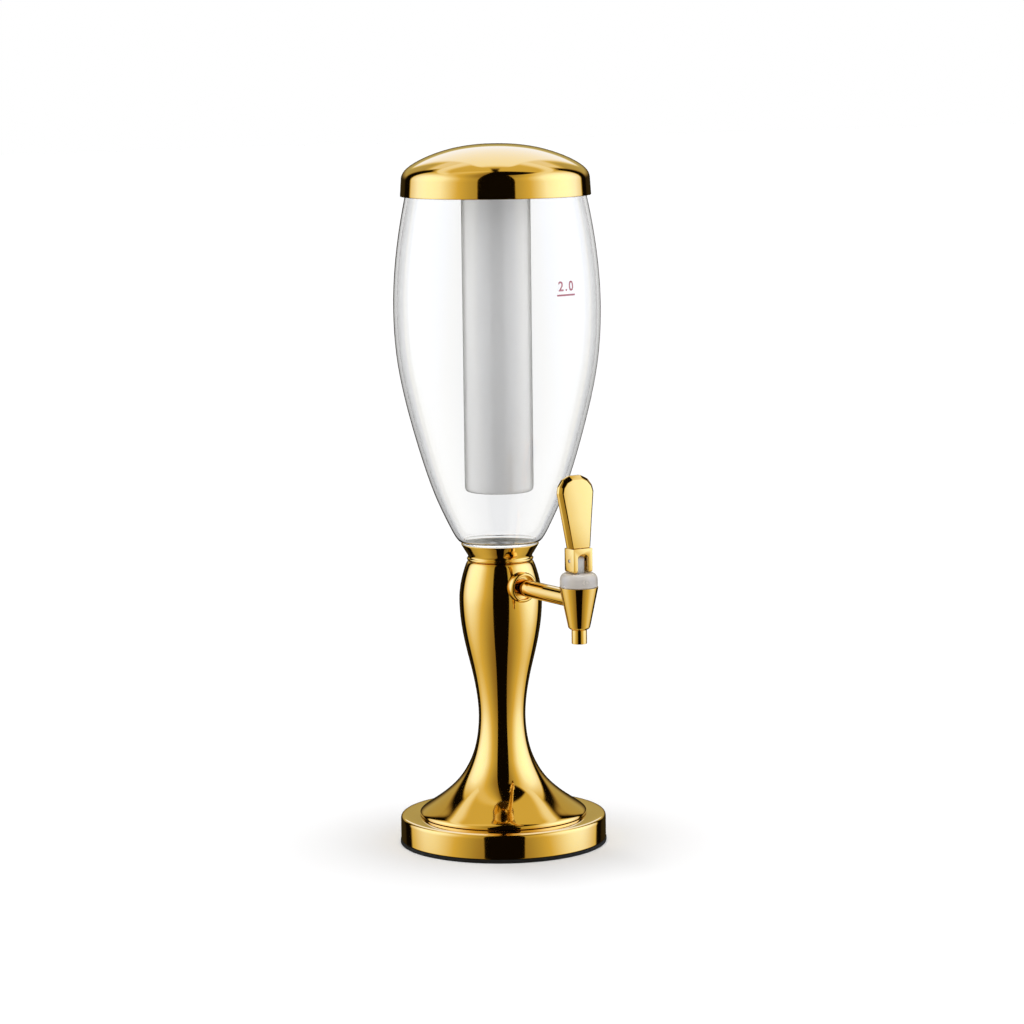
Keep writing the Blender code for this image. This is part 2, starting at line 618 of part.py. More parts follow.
def make_shank(gold, silicone, steel):
    """The tube to the tap, its flange outside the column, and its saddle and nut inside."""
    centre = Vector((0, 0, SHANK_Z))
    axis = Vector((0, -1, 0))
    outline = column_outline()
    wall_outer = radius_at(outline, SHANK_Z)
    wall_inner = radius_at(column_walls(COLUMN_WALL), SHANK_Z)

    start = elbow_reach() - SHANK_SOCKET_DEPTH + GAP
    end = TAP_REACH - CHAMBER_RADIUS - TAP_SOCKET_WALL - GAP
    shank = rod("shank", SHANK_RADIUS, centre + axis * start, centre + axis * end, gold, helper=False)
    bore = rod(
        "shank_bore", SHANK_BORE_RADIUS, centre + axis * (start - OVERRUN), centre + axis * (end + OVERRUN)
    )
    boolean(shank, bore)

    turn = (math.radians(90), 0, 0)
    rest = wall_outer - COLUMN_WALL
    hub = wall_outer + FLANGE_HUB_DEPTH
    face = wall_outer + FLANGE_DEPTH
    flange = turned("shank_flange", [
        (SHANK_HOLE_RADIUS, rest), (FLANGE_RADIUS, rest), (FLANGE_RADIUS, face - FLANGE_EDGE),
        (FLANGE_RADIUS - FLANGE_EDGE, face), (FLANGE_HUB_RADIUS, face),
        (FLANGE_HUB_RADIUS - FLANGE_EDGE, hub), (FLANGE_RECESS_RADIUS, hub),
        (FLANGE_RECESS_RADIUS - FLANGE_EDGE, hub - FLANGE_RECESS_DEPTH),
        (SHANK_HOLE_RADIUS, hub - FLANGE_RECESS_DEPTH),
    ], gold, TAP_SIDES)
    flange.location = centre
    flange.rotation_euler = turn
    outside = turned("column_outside", [
        (0, COLUMN_FOOT_Z), *[(radius + GAP, height) for radius, height in outline], (0, COLUMN_TOP_Z),
    ], helper=True)
    boolean(flange, outside)

    saddle_front = wall_inner - SADDLE_THICKNESS
    saddle = ring(
        "shank_saddle", SHANK_HOLE_RADIUS, SADDLE_RADIUS, saddle_front, wall_inner + COLUMN_WALL, silicone,
        SMALL_SIDES,
    )
    saddle.location = centre
    saddle.rotation_euler = turn
    walls = column_walls(COLUMN_WALL + GAP)
    inside = turned("column_inside", [(0, walls[0][1]), *walls, (0, walls[-1][1])], helper=True)
    boolean(saddle, inside, "INTERSECT")

    nut_centre = saddle_front - GAP - LOCKNUT_THICKNESS / 2
    make_nut(
        "shank_locknut", LOCKNUT_RADIUS, SHANK_HOLE_RADIUS, LOCKNUT_THICKNESS, steel,
        centre + axis * nut_centre, turn,
    )


def make_tap(gold, clear, silicone, tap):
    """The still pieces of the tap, round the vertical axis of its valve."""
    foot_z = TAP_TOP_Z - TAP_LENGTH
    chamber_z = TAP_TOP_Z - CHAMBER_DEPTH
    step_radius = CHAMBER_RADIUS + CHAMBER_STEP_WIDTH
    spigot_radius = NOZZLE_RADIUS - NOZZLE_SPIGOT_STEP
    socket_top_z = foot_z + NOZZLE_SPIGOT_LENGTH
    nozzle_top_z = socket_top_z - GAP
    body = turned("tap_body", [
        (spigot_radius + GAP, foot_z), (TAP_FOOT_RADIUS - TAP_EDGE, foot_z),
        (TAP_FOOT_RADIUS, foot_z + TAP_EDGE), (TAP_TOP_RADIUS, TAP_TOP_Z),
        (step_radius, TAP_TOP_Z), (step_radius, CHAMBER_STEP_Z), (CHAMBER_RADIUS, CHAMBER_STEP_Z),
        (CHAMBER_RADIUS, chamber_z), (SEAT_HOLE_RADIUS, chamber_z), (SEAT_HOLE_RADIUS, socket_top_z),
        (spigot_radius + GAP, socket_top_z),
    ], gold, TAP_SIDES, tap)
    centre = Vector((0, 0, SHANK_Z))
    inward = Vector((0, 1, 0))
    socket = rod(
        "tap_socket", SHANK_HOLE_RADIUS, centre + inward * (CHAMBER_RADIUS + TAP_SOCKET_WALL),
        centre + inward * (TAP_TOP_RADIUS + OVERRUN), parent=tap,
    )
    boolean(body, socket)
    port = rod("tap_port", TAP_PORT_RADIUS, centre, centre + inward * TAP_TOP_RADIUS, parent=tap)
    boolean(body, port)

    bore = NOZZLE_RADIUS - NOZZLE_WALL
    step_z = foot_z - GAP
    turned("tap_nozzle", [
        (bore, step_z - NOZZLE_LENGTH), (NOZZLE_RADIUS, step_z - NOZZLE_LENGTH), (NOZZLE_RADIUS, step_z),
        (spigot_radius, step_z), (spigot_radius, nozzle_top_z), (bore, nozzle_top_z),
    ], gold, SMALL_SIDES, tap)

    skirt_outer = step_radius - GAP
    skirt_inner = skirt_outer - BONNET_SKIRT_WALL
    skirt_z = BONNET_FOOT_Z - BONNET_SKIRT_LENGTH
    roof_z = BONNET_TOP_Z - BONNET_ROOF
    turned("tap_bonnet", [
        (skirt_inner, skirt_z), (skirt_outer, skirt_z), (skirt_outer, BONNET_FOOT_Z),
        (BONNET_RADIUS - BONNET_EDGE, BONNET_FOOT_Z), (BONNET_RADIUS, BONNET_FOOT_Z + BONNET_EDGE),
        (BONNET_RADIUS, BONNET_TOP_Z - BONNET_CHAMFER), (BONNET_RADIUS - BONNET_CHAMFER, BONNET_TOP_Z),
        (BONNET_HOLE_RADIUS, BONNET_TOP_Z), (BONNET_HOLE_RADIUS, roof_z), (skirt_inner, roof_z),
    ], clear, TAP_SIDES, tap)

    ring(
        "stem_seal", STEM_RADIUS + GAP, skirt_outer, STEM_SEAL_Z, STEM_SEAL_Z + STEM_SEAL_THICKNESS,
        silicone, SMALL_SIDES, tap,
    )


def make_valve(white, silicone, steel, stem):
    """The pieces that rise with the stem. The parent sits on the pivot pin's axis."""
    shoulder_z = STEM_SHOULDER_Z - PIN_Z
    shoulder_top_z = shoulder_z + STEM_SHOULDER_THICKNESS
    tail_z = shoulder_z - STEM_TAIL
    blade_foot_z = BONNET_TOP_Z - BONNET_ROOF - PIN_Z
    valve_stem = turned("valve_stem", [
        (0, tail_z), (STEM_RADIUS, tail_z), (STEM_RADIUS, shoulder_z), (STEM_SHOULDER_RADIUS, shoulder_z),
        (STEM_SHOULDER_RADIUS, shoulder_top_z), (STEM_RADIUS, shoulder_top_z),
        (STEM_RADIUS, blade_foot_z + BLADE_DEPTH / 2), (0, blade_foot_z + BLADE_DEPTH / 2),
    ], white, SMALL_SIDES, stem)
    half = BLADE_WIDTH / 2
    eye_radius = BLADE_DEPTH / 2
    eye = arc((0, 0), (eye_radius, eye_radius), 0, 180, BLADE_ARC_STEPS)
    side = [(eye_radius, blade_foot_z), *eye, (-eye_radius, blade_foot_z)]
    blade_outline = [(-half, y, z) for y, z in side]
    blade = extruded("stem_blade", blade_outline, (BLADE_WIDTH, 0, 0), parent=stem, helper=True)
    waist = turned("blade_limit", [
        (0, blade_foot_z - OVERRUN), (BONNET_HOLE_RADIUS - GAP, blade_foot_z - OVERRUN),
        (BONNET_HOLE_RADIUS - GAP, BLADE_DEPTH), (0, BLADE_DEPTH),
    ], sides=SMALL_SIDES, parent=stem, helper=True)
    boolean(blade, waist, "INTERSECT")
    boolean(valve_stem, blade, "UNION")
    reach = YOKE_WIDTH
    eye_hole = rod("stem_eye_hole", PIN_RADIUS + GAP, (-reach, 0, 0), (reach, 0, 0), parent=stem)
    boolean(valve_stem, eye_hole)

    chamber_z = TAP_TOP_Z - CHAMBER_DEPTH - PIN_Z
    tip_z = chamber_z + GAP
    hole_z = tail_z - GAP
    cone_z = tip_z + SEAT_CUP_RADIUS - SEAT_CUP_TIP_RADIUS
    top_z = tail_z + SEAT_CUP_DEPTH
    cup_inner = STEM_RADIUS + GAP
    turned("seat_cup", [
        (0, tip_z), (SEAT_CUP_TIP_RADIUS, tip_z), (SEAT_CUP_RADIUS, cone_z),
        (SEAT_CUP_RADIUS, hole_z), (cup_inner + SEAT_CUP_WALL, top_z), (cup_inner, top_z),
        (cup_inner, hole_z), (0, hole_z),
    ], silicone, SMALL_SIDES, stem)

    pin_half = YOKE_WIDTH / 2 - PIN_RECESS
    rod("lever_pin", PIN_RADIUS, (-pin_half, 0, 0), (pin_half, 0, 0), steel, 16, stem, helper=False)

    roof_z = BONNET_TOP_Z - BONNET_ROOF - PIN_Z
    make_spring(steel, shoulder_top_z + GAP + WIRE_RADIUS, roof_z - GAP - WIRE_RADIUS, stem)


def make_spring(steel, low, high, parent):
    """A helix of one unbroken wire."""
    count = SPRING_TURNS * SPRING_POINTS_PER_TURN + 1
    points = []
    for step in range(count):
        angle = 2 * math.pi * step / SPRING_POINTS_PER_TURN
        height = low + (high - low) * step / (count - 1)
        points.append(Vector((SPRING_RADIUS * math.cos(angle), SPRING_RADIUS * math.sin(angle), height)))
    gaps = [
        (points[first] - points[second]).length - 2 * WIRE_RADIUS
        for first in range(count) for second in range(first + SPRING_POINTS_PER_TURN // 2, count)
    ]
    print(f"valve_spring: least gap to itself {1000 * min(gaps):.2f} mm")
    curve = bpy.data.curves.new("valve_spring", "CURVE")
    curve.dimensions = "3D"
    curve.bevel_depth = WIRE_RADIUS
    curve.bevel_resolution = 1
    curve.use_fill_caps = True
    line = curve.splines.new("POLY")
    line.points.add(count - 1)
    for point, place in zip(line.points, points):
        point.co = (*place, 1)
    curve.materials.append(steel)
    spring = bpy.data.objects.new("valve_spring", curve)
    bpy.context.scene.collection.objects.link(spring)
    spring.parent = parent


def make_lever(gold, steel, lever):
    """The yoke and the paddle, which tilt about the pin. The parent sits on the pin's axis."""
    half_width = YOKE_WIDTH / 2
    half_depth = YOKE_DEPTH / 2
    foot_z = -PIN_RISE
    top_z = foot_z + YOKE_HEIGHT
    edge = YOKE_FOOT_EDGE
    front = arc((half_depth - edge, foot_z + edge), (edge, edge), -90, 0)
    back = arc((edge - half_depth, foot_z + edge), (edge, edge), 180, 270)
    side = [*front, (half_depth, top_z), (-half_depth, top_z), *back]
    yoke = extruded("lever_yoke", [(-half_width, y, z) for y, z in side], (YOKE_WIDTH, 0, 0), gold, lever)
    rounding = yoke.modifiers.new("edges", "BEVEL")
    rounding.width = YOKE_EDGE
    rounding.segments = 2
    rounding.limit_method = "ANGLE"
    rounding.angle_limit = math.radians(60)

    slot_top_z = foot_z + SLOT_HEIGHT
    arch_height = SLOT_WIDTH / 3
    arch = arc((0, slot_top_z - arch_height), (SLOT_WIDTH / 2, arch_height), 0, 180, 2 * ARC_STEPS)
    slot_outline = [(SLOT_WIDTH / 2, foot_z - OVERRUN), *arch, (-SLOT_WIDTH / 2, foot_z - OVERRUN)]
    slot = extruded(
        "yoke_slot", [(x, -half_depth - OVERRUN, z) for x, z in slot_outline],
        (0, YOKE_DEPTH + 2 * OVERRUN, 0), parent=lever, helper=True,
    )
    boolean(yoke, slot)
    reach = half_width + OVERRUN
    pin_hole = rod("yoke_pin_hole", PIN_RADIUS + GAP, (-reach, 0, 0), (reach, 0, 0), parent=lever)
    boolean(yoke, pin_hole)
    stud_foot_z = top_z - STUD_SEAT
    stud_top_z = stud_foot_z + STUD_LENGTH
    stud_hole = rod(
        "stud_hole", STUD_RADIUS + GAP, (0, 0, stud_foot_z - GAP), (0, 0, stud_top_z + GAP), parent=lever
    )
    boolean(yoke, stud_hole)
    rod("handle_stud", STUD_RADIUS, (0, 0, stud_foot_z), (0, 0, stud_top_z), steel, 16, lever, False)

    paddle_z = top_z + GAP
    side_half = PADDLE_SIDE / 2
    face_half = PADDLE_THICKNESS / 2
    maker = bmesh.new()
    loops = []
    for depth, shares in (
        (-face_half, PADDLE_FACE_SHARES), (-side_half, PADDLE_EDGE_SHARES),
        (side_half, PADDLE_EDGE_SHARES), (face_half, PADDLE_FACE_SHARES),
    ):
        right = [
            (width * PADDLE_HALF_WIDTH, depth + rise * PADDLE_LEAN, paddle_z + rise * PADDLE_HEIGHT)
            for width, rise in shares
        ]
        left = [(-x, y, z) for x, y, z in reversed(right)]
        loops.append([maker.verts.new(place) for place in right + left])
    maker.faces.new(loops[0])
    maker.faces.new(loops[-1])
    for near, far in zip(loops, loops[1:]):
        for index in range(len(near)):
            after = (index + 1) % len(near)
            maker.faces.new((near[index], near[after], far[after], far[index]))
    paddle = finished(maker, "lever_paddle", gold, lever)
    boolean(paddle, stud_hole)


def lid_outline():
    """The outer side of the lid, from the skirt's lower edge to the middle of the dome."""
    skirt_top_z = LID_FOOT_Z + LID_SKIRT_HEIGHT
    points = [(LID_RADIUS, LID_FOOT_Z), (LID_RADIUS - LID_SKIRT_DRAFT, skirt_top_z)]
    for width, rise in LID_SHARES:
        points.append((width * LID_RADIUS, skirt_top_z + rise * LID_DOME_HEIGHT))
    points.append((0, skirt_top_z + LID_DOME_HEIGHT))
    return points


def make_lid(gold, white, silicone, lid):
    outer = lid_outline()
    inner = inset(outer, LID_WALL)
    crown = (0, inner[-1][1])
    skirt_foot = (LID_RADIUS - LID_WALL, LID_FOOT_Z)
    dome = inner[-1 - INNER_WALL_STEPS:0:-INNER_WALL_STEPS]
    turned("lid", [crown, *dome, skirt_foot, *outer], gold, parent=lid)

    disc_radius = radius_at(outer, INSERT_FOOT_Z + INSERT_THICKNESS) - LID_WALL - GAP
    mouth = tank_outline()[-1][0] - TANK_WALL
    plug_outer = mouth - PLUG_CLEARANCE
    plug_inner = plug_outer - PLUG_WALL
    top_z = INSERT_FOOT_Z + INSERT_THICKNESS
    plug_z = INSERT_FOOT_Z - PLUG_DEPTH
    socket_z = INSERT_FOOT_Z - SOCKET_DEPTH
    socket_outer = SOCKET_RADIUS + SOCKET_WALL
    turned("lid_insert", [
        (0, INSERT_FOOT_Z), (SOCKET_RADIUS, INSERT_FOOT_Z), (SOCKET_RADIUS, socket_z),
        (socket_outer, socket_z), (socket_outer, INSERT_FOOT_Z), (plug_inner, INSERT_FOOT_Z),
        (plug_inner, plug_z), (plug_outer, plug_z), (plug_outer, INSERT_FOOT_Z),
        (disc_radius, INSERT_FOOT_Z), (disc_radius, top_z), (0, top_z),
    ], white, parent=lid)

    ring(
        "lid_seal", mouth, disc_radius - SEAL_THICKNESS, LID_SEAL_Z, LID_SEAL_Z + SEAL_THICKNESS, silicone,
        parent=lid,
    )


def make_ice_tube(frosted, silicone, tube):
    foot_z = ICE_TUBE_FOOT_Z
    collar_z = ICE_TUBE_TOP_Z - ICE_TUBE_COLLAR_LENGTH
    inner_radius = ICE_TUBE_RADIUS - ICE_TUBE_WALL
    inner_edge = ICE_TUBE_EDGE - ICE_TUBE_WALL
    edge_centre = (ICE_TUBE_RADIUS - ICE_TUBE_EDGE, foot_z + ICE_TUBE_EDGE)
    outer = arc(edge_centre, (ICE_TUBE_EDGE, ICE_TUBE_EDGE), -90, 0)
    inner = arc(edge_centre, (inner_edge, inner_edge), 0, -90)
    turned("ice_tube", [
        (0, foot_z), *outer, (ICE_TUBE_RADIUS, collar_z), (ICE_TUBE_COLLAR_RADIUS, collar_z),
        (ICE_TUBE_COLLAR_RADIUS, ICE_TUBE_TOP_Z), (inner_radius, ICE_TUBE_TOP_Z), *inner,
        (0, foot_z + ICE_TUBE_WALL),
    ], frosted, parent=tube)
    seal_z = ICE_TUBE_TOP_Z + GAP
    ring(
        "ice_tube_seal", inner_radius, ICE_TUBE_COLLAR_RADIUS - GAP, seal_z, seal_z + SEAL_THICKNESS,
        silicone, parent=tube,
    )


def axis_marker(name, place, parent=None):
    """An empty on a joint's axis, which the moving pieces hang from."""
    marker = bpy.data.objects.new(name, None)
    bpy.context.scene.collection.objects.link(marker)
    marker.parent = parent
    marker.location = place
    return marker


def main():
    for old in list(bpy.data.objects):
        bpy.data.objects.remove(old, do_unlink=True)

    gold = material("gold_plating", (0.80, 0.56, 0.16), 0.12, metallic=1.0)
    black = material("black_plastic", (0.02, 0.02, 0.02), 0.5)
    rubber = material("black_rubber", (0.015, 0.015, 0.015), 0.8)
    iron = material("cast_iron", (0.12, 0.12, 0.13), 0.6, metallic=1.0)
    steel = material("steel", (0.62, 0.62, 0.62), 0.3, metallic=1.0)
    clear = material("clear_plastic", (0.95, 0.96, 0.97), 0.03, transmission=1.0)
    frosted = material("frosted_plastic", (0.90, 0.90, 0.91), 0.4, transmission=0.5)
    white = material("white_plastic", (0.88, 0.88, 0.87), 0.35)
    silicone = material("silicone", (0.82, 0.82, 0.80), 0.6)

    tap = axis_marker("tap_axis", (0, -TAP_REACH, 0))
    stem = axis_marker("stem_axis", (0, 0, PIN_Z), tap)
    lever = axis_marker("lever_axis", (0, 0, PIN_Z), tap)
    lid = axis_marker("lid_axis", (0, 0, 0))
    tube = axis_marker("ice_tube_axis", (0, 0, 0), lid)

    make_base(gold, black, iron, rubber, steel)
    make_column(gold)
    make_collar(gold)
    make_tank(clear, silicone, white)
    make_outlet(steel, silicone, white)
    make_shank(gold, silicone, steel)
    make_tap(gold, clear, silicone, tap)
    make_valve(white, silicone, steel, stem)
    make_lever(gold, steel, lever)
    make_lid(gold, white, silicone, lid)
    make_ice_tube(frosted, silicone, tube)

    height = LID_FOOT_Z + LID_SKIRT_HEIGHT + LID_DOME_HEIGHT
    print(f"height {1000 * height:.1f} mm, base diameter {2000 * BASE_RADIUS:.1f} mm")
    print(f"pivot height {1000 * PIN_Z:.2f} mm, stem lift {1000 * STEM_LIFT_PER_RADIAN:.2f} mm per radian")


main()
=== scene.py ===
# %% [markdown]
# # A gold beer tower, piece by piece
# The tower stands on a weighted gold base. A flared column carries a clear tank, an ice tube hangs
# in the tank from a domed lid, and a lever tap pours at the front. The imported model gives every
# piece its place and its motion. This lesson builds the fine shapes on top of it, one at a time, and
# gives each its finish. Sizes in the outlines are millimetres, because a drawing has them.

# %% Load the frame
import math

import bmesh
import bpy
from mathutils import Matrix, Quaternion, Vector


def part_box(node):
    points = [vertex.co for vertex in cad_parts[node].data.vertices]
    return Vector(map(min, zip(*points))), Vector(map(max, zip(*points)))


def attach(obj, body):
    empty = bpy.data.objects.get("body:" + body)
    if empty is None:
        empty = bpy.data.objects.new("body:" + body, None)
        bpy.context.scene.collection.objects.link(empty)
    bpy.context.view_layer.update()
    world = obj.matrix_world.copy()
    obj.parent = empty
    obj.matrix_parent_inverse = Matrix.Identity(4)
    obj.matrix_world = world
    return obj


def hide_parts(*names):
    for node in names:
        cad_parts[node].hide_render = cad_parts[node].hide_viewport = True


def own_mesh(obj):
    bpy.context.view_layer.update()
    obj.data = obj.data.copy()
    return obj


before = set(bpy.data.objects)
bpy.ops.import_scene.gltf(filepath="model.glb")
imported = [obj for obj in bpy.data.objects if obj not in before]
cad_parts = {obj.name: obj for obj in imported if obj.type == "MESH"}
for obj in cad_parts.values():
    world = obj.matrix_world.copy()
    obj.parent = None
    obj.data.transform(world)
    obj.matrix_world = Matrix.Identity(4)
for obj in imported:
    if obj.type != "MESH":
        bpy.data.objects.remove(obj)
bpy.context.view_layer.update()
MM = 0.001
print("pieces in the frame:", len(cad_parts))

# %% [markdown]
# ## The camera
# The tower is seen from a little left of its tap, from above the middle of its height and from far
# away, as with a long lens. The camera stands 2.6 m off, looks at a point beside the axis so that
# the tower sits left of the middle of the frame, and is rolled by less than a degree, because the
# tower leans that much in the picture.

# %% Camera
TURN = math.radians(-32)
DISTANCE = 2.6
EYE_HEIGHT = 0.605
AIM_HEIGHT, AIM_BESIDE = 0.2505, 0.0093
LENS, ROLL = 123.3, math.radians(-0.7)
towards_eye = Vector((math.sin(TURN), -math.cos(TURN), 0))
to_the_right = Vector((math.cos(TURN), math.sin(TURN), 0))
eye = towards_eye * DISTANCE + Vector((0, 0, EYE_HEIGHT))
aim = to_the_right * AIM_BESIDE + Vector((0, 0, AIM_HEIGHT))

camera = bpy.data.objects.new("camera", bpy.data.cameras.new("camera"))
bpy.context.scene.collection.objects.link(camera)
camera.data.sensor_width = 36
camera.data.lens = LENS
camera.location = eye
camera.rotation_mode = "QUATERNION"
camera.rotation_quaternion = (aim - eye).to_track_quat("-Z", "Y") @ Quaternion((0, 0, 1), ROLL)
bpy.context.scene.camera = camera
bpy.context.scene.view_settings.view_transform = "Standard"
print("camera at", [round(value, 3) for value in eye])

# %% [markdown]
# ## The light tent
# Mirror metal shows nothing but the room round it, so the room is drawn with care. It is a white
# tent with a tall soft panel on each side and one overhead. The gap between the side panels, where
# the camera stands, is the black stripe down the middle of each gold piece, and the dark behind the
# tower draws the thin dark lines along its edges. The tent is painted in the world, as a panel of
# light for each range of directions, because that gives clean reflections. The dim cloth is warm,
# and the bright one is white with a touch of blue, as lamps look beside it. Rays that have passed
# the tank see the same tent with a white backdrop behind it, so the thick edges of the tank turn
# grey. The camera itself sees plain white, and matt surfaces get a plain white light, stronger from
# the horizon and below than from overhead.

# %% World
world = bpy.data.worlds.new("light tent")
bpy.context.scene.world = world
world.use_nodes = True
tent = world.node_tree
tent.nodes.clear()


def tent_node(kind, **settings):
    node = tent.nodes.new(kind)
    for name, value in settings.items():
        setattr(node, name, value)
    return node


def joined(socket, value):
    """Plugs an output into a socket, or sets a plain number."""
    if isinstance(value, bpy.types.NodeSocket):
        socket.id_data.links.new(value, socket)
    else:
        socket.default_value = value


def reckon(operation, first, second=0.0, third=0.0):
    node = tent_node("ShaderNodeMath", operation=operation)
    for socket, value in zip(node.inputs, (first, second, third)):
        joined(socket, value)
    return node.outputs[0]


def product(*values):
    result = values[0]
    for value in values[1:]:
        result = reckon("MULTIPLY", result, value)
    return result


def brightest(*levels):
    result = levels[0]
    for level in levels[1:]:
        result = reckon("MAXIMUM", result, level)
    return result


def rising(value, start, stop):
    """From 0 at start to 1 at stop, with a soft beginning and end."""
    node = tent_node("ShaderNodeMapRange", interpolation_type="SMOOTHSTEP")
    for name, number in (("Value", value), ("From Min", start), ("From Max", stop)):
        joined(node.inputs[name], number)
    return node.outputs["Result"]


direction = tent_node("ShaderNodeTexCoord").outputs["Generated"]
facing_camera = tent_node("ShaderNodeVectorRotate", rotation_type="Z_AXIS")
joined(facing_camera.inputs["Vector"], direction)
joined(facing_camera.inputs["Angle"], -TURN)
along = tent_node("ShaderNodeSeparateXYZ")
joined(along.inputs[0], facing_camera.outputs[0])
sideways = reckon("ARCTAN2", along.outputs["X"], product(along.outputs["Y"], -1.0))
degrees_round = product(sideways, math.degrees(1))
height = product(reckon("ARCSINE", along.outputs["Z"]), math.degrees(1))


def panel(left, right, low, high, edge):
    """A panel of light between two angles round the tower and two heights, in degrees."""
    across = product(rising(degrees_round, left, left + edge[0]),
                     rising(degrees_round, right, right - edge[1]))
    up = product(rising(height, low, low + edge[2]), rising(height, high, high - edge[3]))
    return product(across, up)


def scaled(value, factor, offset=0.0):
    return reckon("MULTIPLY_ADD", value, factor, offset)


turned_away = reckon("ABSOLUTE", degrees_round)
left_panel = panel(-129, -21, -95, 90, (5, 1.5, 1, 4))
right_panel = scaled(panel(23, 131, -95, 62, (1.5, 5, 1, 4)), 1.08)
side_panels = reckon("ADD", left_panel, right_panel)
towards_gap = scaled(rising(turned_away, 15, 90), 0.84, 0.44)
towards_back = scaled(rising(turned_away, 95, 135), -0.35, 1.0)
towards_table = scaled(rising(height, -50, 15), 0.52, 0.48)
towards_roof = scaled(rising(height, 25, 62), -0.38, 1.0)
side_level = product(towards_gap, towards_back, towards_table, towards_roof, side_panels)

far_half = rising(along.outputs["Y"], -0.03, 0.03)
roof_slit = rising(reckon("ABSOLUTE", along.outputs["X"]), 0.02, 0.05)
roof_rim = scaled(rising(height, 62, 54), 0.28, 0.67)
roof_level = product(far_half, rising(height, 44, 51), roof_rim, roof_slit)
back_roof = product(rising(turned_away, 154, 166), rising(height, 12.5, 20), rising(height, 82, 62))
wall_foot = scaled(rising(height, 0, 15), 0.44, 0.03)
wall_top = scaled(rising(height, 36, 43), 0.40)
back_wall = product(reckon("ADD", wall_foot, wall_top), rising(turned_away, 139, 147), rising(height, 62, 52))
DARKEST = 0.004
tent_level = brightest(side_level, roof_level, back_roof, back_wall, DARKEST)

cloth = tent_node("ShaderNodeValToRGB")
joined(cloth.inputs["Fac"], product(tent_level, 0.5))
cloth.color_ramp.elements[0].position, cloth.color_ramp.elements[1].position = 0.10, 0.55
cloth.color_ramp.elements[0].color = (1.0, 0.69, 0.22, 1.0)
cloth.color_ramp.elements[1].color = (1.0, 1.20, 1.70, 1.0)
for position in (0.24, 0.36):
    cloth.color_ramp.elements.new(position).color = (1.0, 0.84, 0.30, 1.0)


def mixed(share, first, second):
    """One colour or the other, or between them, as a share goes from 0 to 1."""
    node = tent_node("ShaderNodeMix", data_type="RGBA")
    joined(node.inputs["Factor"], share)
    joined(node.inputs["A"], first)
    joined(node.inputs["B"], second)
    return node.outputs["Result"]


def lit(colour, strength):
    """A colour times a strength, which may go over 1."""
    node = tent_node("ShaderNodeVectorMath", operation="SCALE")
    joined(node.inputs[0], colour)
    joined(node.inputs["Scale"], strength)
    return node.outputs[0]


rays = tent_node("ShaderNodeLightPath").outputs
WHITE = (1.0, 1.0, 1.0)
backdrop = brightest(scaled(rising(turned_away, 140, 174), 0.35, 0.62), tent_level)
backdrop = product(rising(turned_away, 92, 112), backdrop)
room = scaled(reckon("MINIMUM", tent_level, 1.4), 1.5, 0.62)
passed = lit(WHITE, brightest(room, backdrop))
plain = lit(WHITE, scaled(rising(height, 55, 15), 0.36, 0.07))
light = mixed(rays["Is Glossy Ray"], plain, lit(cloth.outputs["Color"], tent_level))
in_glass = product(rays["Is Glossy Ray"], reckon("MINIMUM", rays["Transmission Depth"], 1.0))
light = mixed(in_glass, light, lit(WHITE, tent_level))
light = mixed(rays["Is Transmission Ray"], light, passed)
light = mixed(rays["Is Camera Ray"], light, (*WHITE, 1.0))
sky = tent_node("ShaderNodeBackground")
joined(sky.inputs["Color"], light)
joined(tent_node("ShaderNodeOutputWorld").inputs["Surface"], sky.outputs[0])
print("nodes in the light tent:", len(tent.nodes))

# %% [markdown]
# ## The lamp
# A broad, soft light falls from overhead, from a little to the right. The lid and the tank keep it
# from the table, which gives the soft shadow round the base. It is a sun lamp with a wide angle, so
# that the table is lit evenly to its far edge. It doesn't show in the gold.

# %% Lamp
LAMP_WIDTH, LAMP_TILT, LAMP_STRENGTH = math.radians(30), math.radians(-0.3), 3.1
bpy.ops.object.light_add(type="SUN", location=(0, 0, 2))
lamp = bpy.context.object
lamp.name = lamp.data.name = "overhead_light"
lamp.data.angle = LAMP_WIDTH
lamp.data.energy = LAMP_STRENGTH
lamp.visible_glossy = False
lamp.rotation_mode = "QUATERNION"
falling = to_the_right * math.sin(LAMP_TILT) - Vector((0, 0, 1))
lamp.rotation_quaternion = falling.to_track_quat("-Z", "Y")
print("lamp:", lamp.data.energy)

# %% [markdown]
# ## The floor
# The tower stands on a white table top that runs into the white behind it. The table is a plain
# plane of matt paint. To the camera it also glows a little, so that it is as white as the backdrop
# away from the tower and still holds the soft shadow round the base. Glossy rays pass it by, as the
# tent goes on below the table's edge in their reflections.

# %% Floor
bpy.ops.object.select_all(action="DESELECT")
bpy.ops.mesh.primitive_plane_add(size=30, location=(0, 0, 0))
floor = bpy.context.object
floor.name = "table_top"
floor.visible_glossy = False

table_paint = bpy.data.materials.new("white table paint")
table_paint.use_nodes = True
paint = table_paint.node_tree
paint.nodes["Principled BSDF"].inputs["Base Color"].default_value = (0.86, 0.86, 0.865, 1)
paint.nodes["Principled BSDF"].inputs["Roughness"].default_value = 0.9
paint.nodes["Principled BSDF"].inputs["Specular IOR Level"].default_value = 0.0
glow = paint.nodes.new("ShaderNodeEmission")
to_camera = paint.nodes.new("ShaderNodeLightPath")
glow_level = paint.nodes.new("ShaderNodeMath")
glow_level.operation = "MULTIPLY"
glow_level.inputs[1].default_value = 0.03
both = paint.nodes.new("ShaderNodeAddShader")
paint.links.new(to_camera.outputs["Is Camera Ray"], glow_level.inputs[0])
paint.links.new(glow_level.outputs[0], glow.inputs["Strength"])
paint.links.new(paint.nodes["Principled BSDF"].outputs[0], both.inputs[0])
paint.links.new(glow.outputs[0], both.inputs[1])
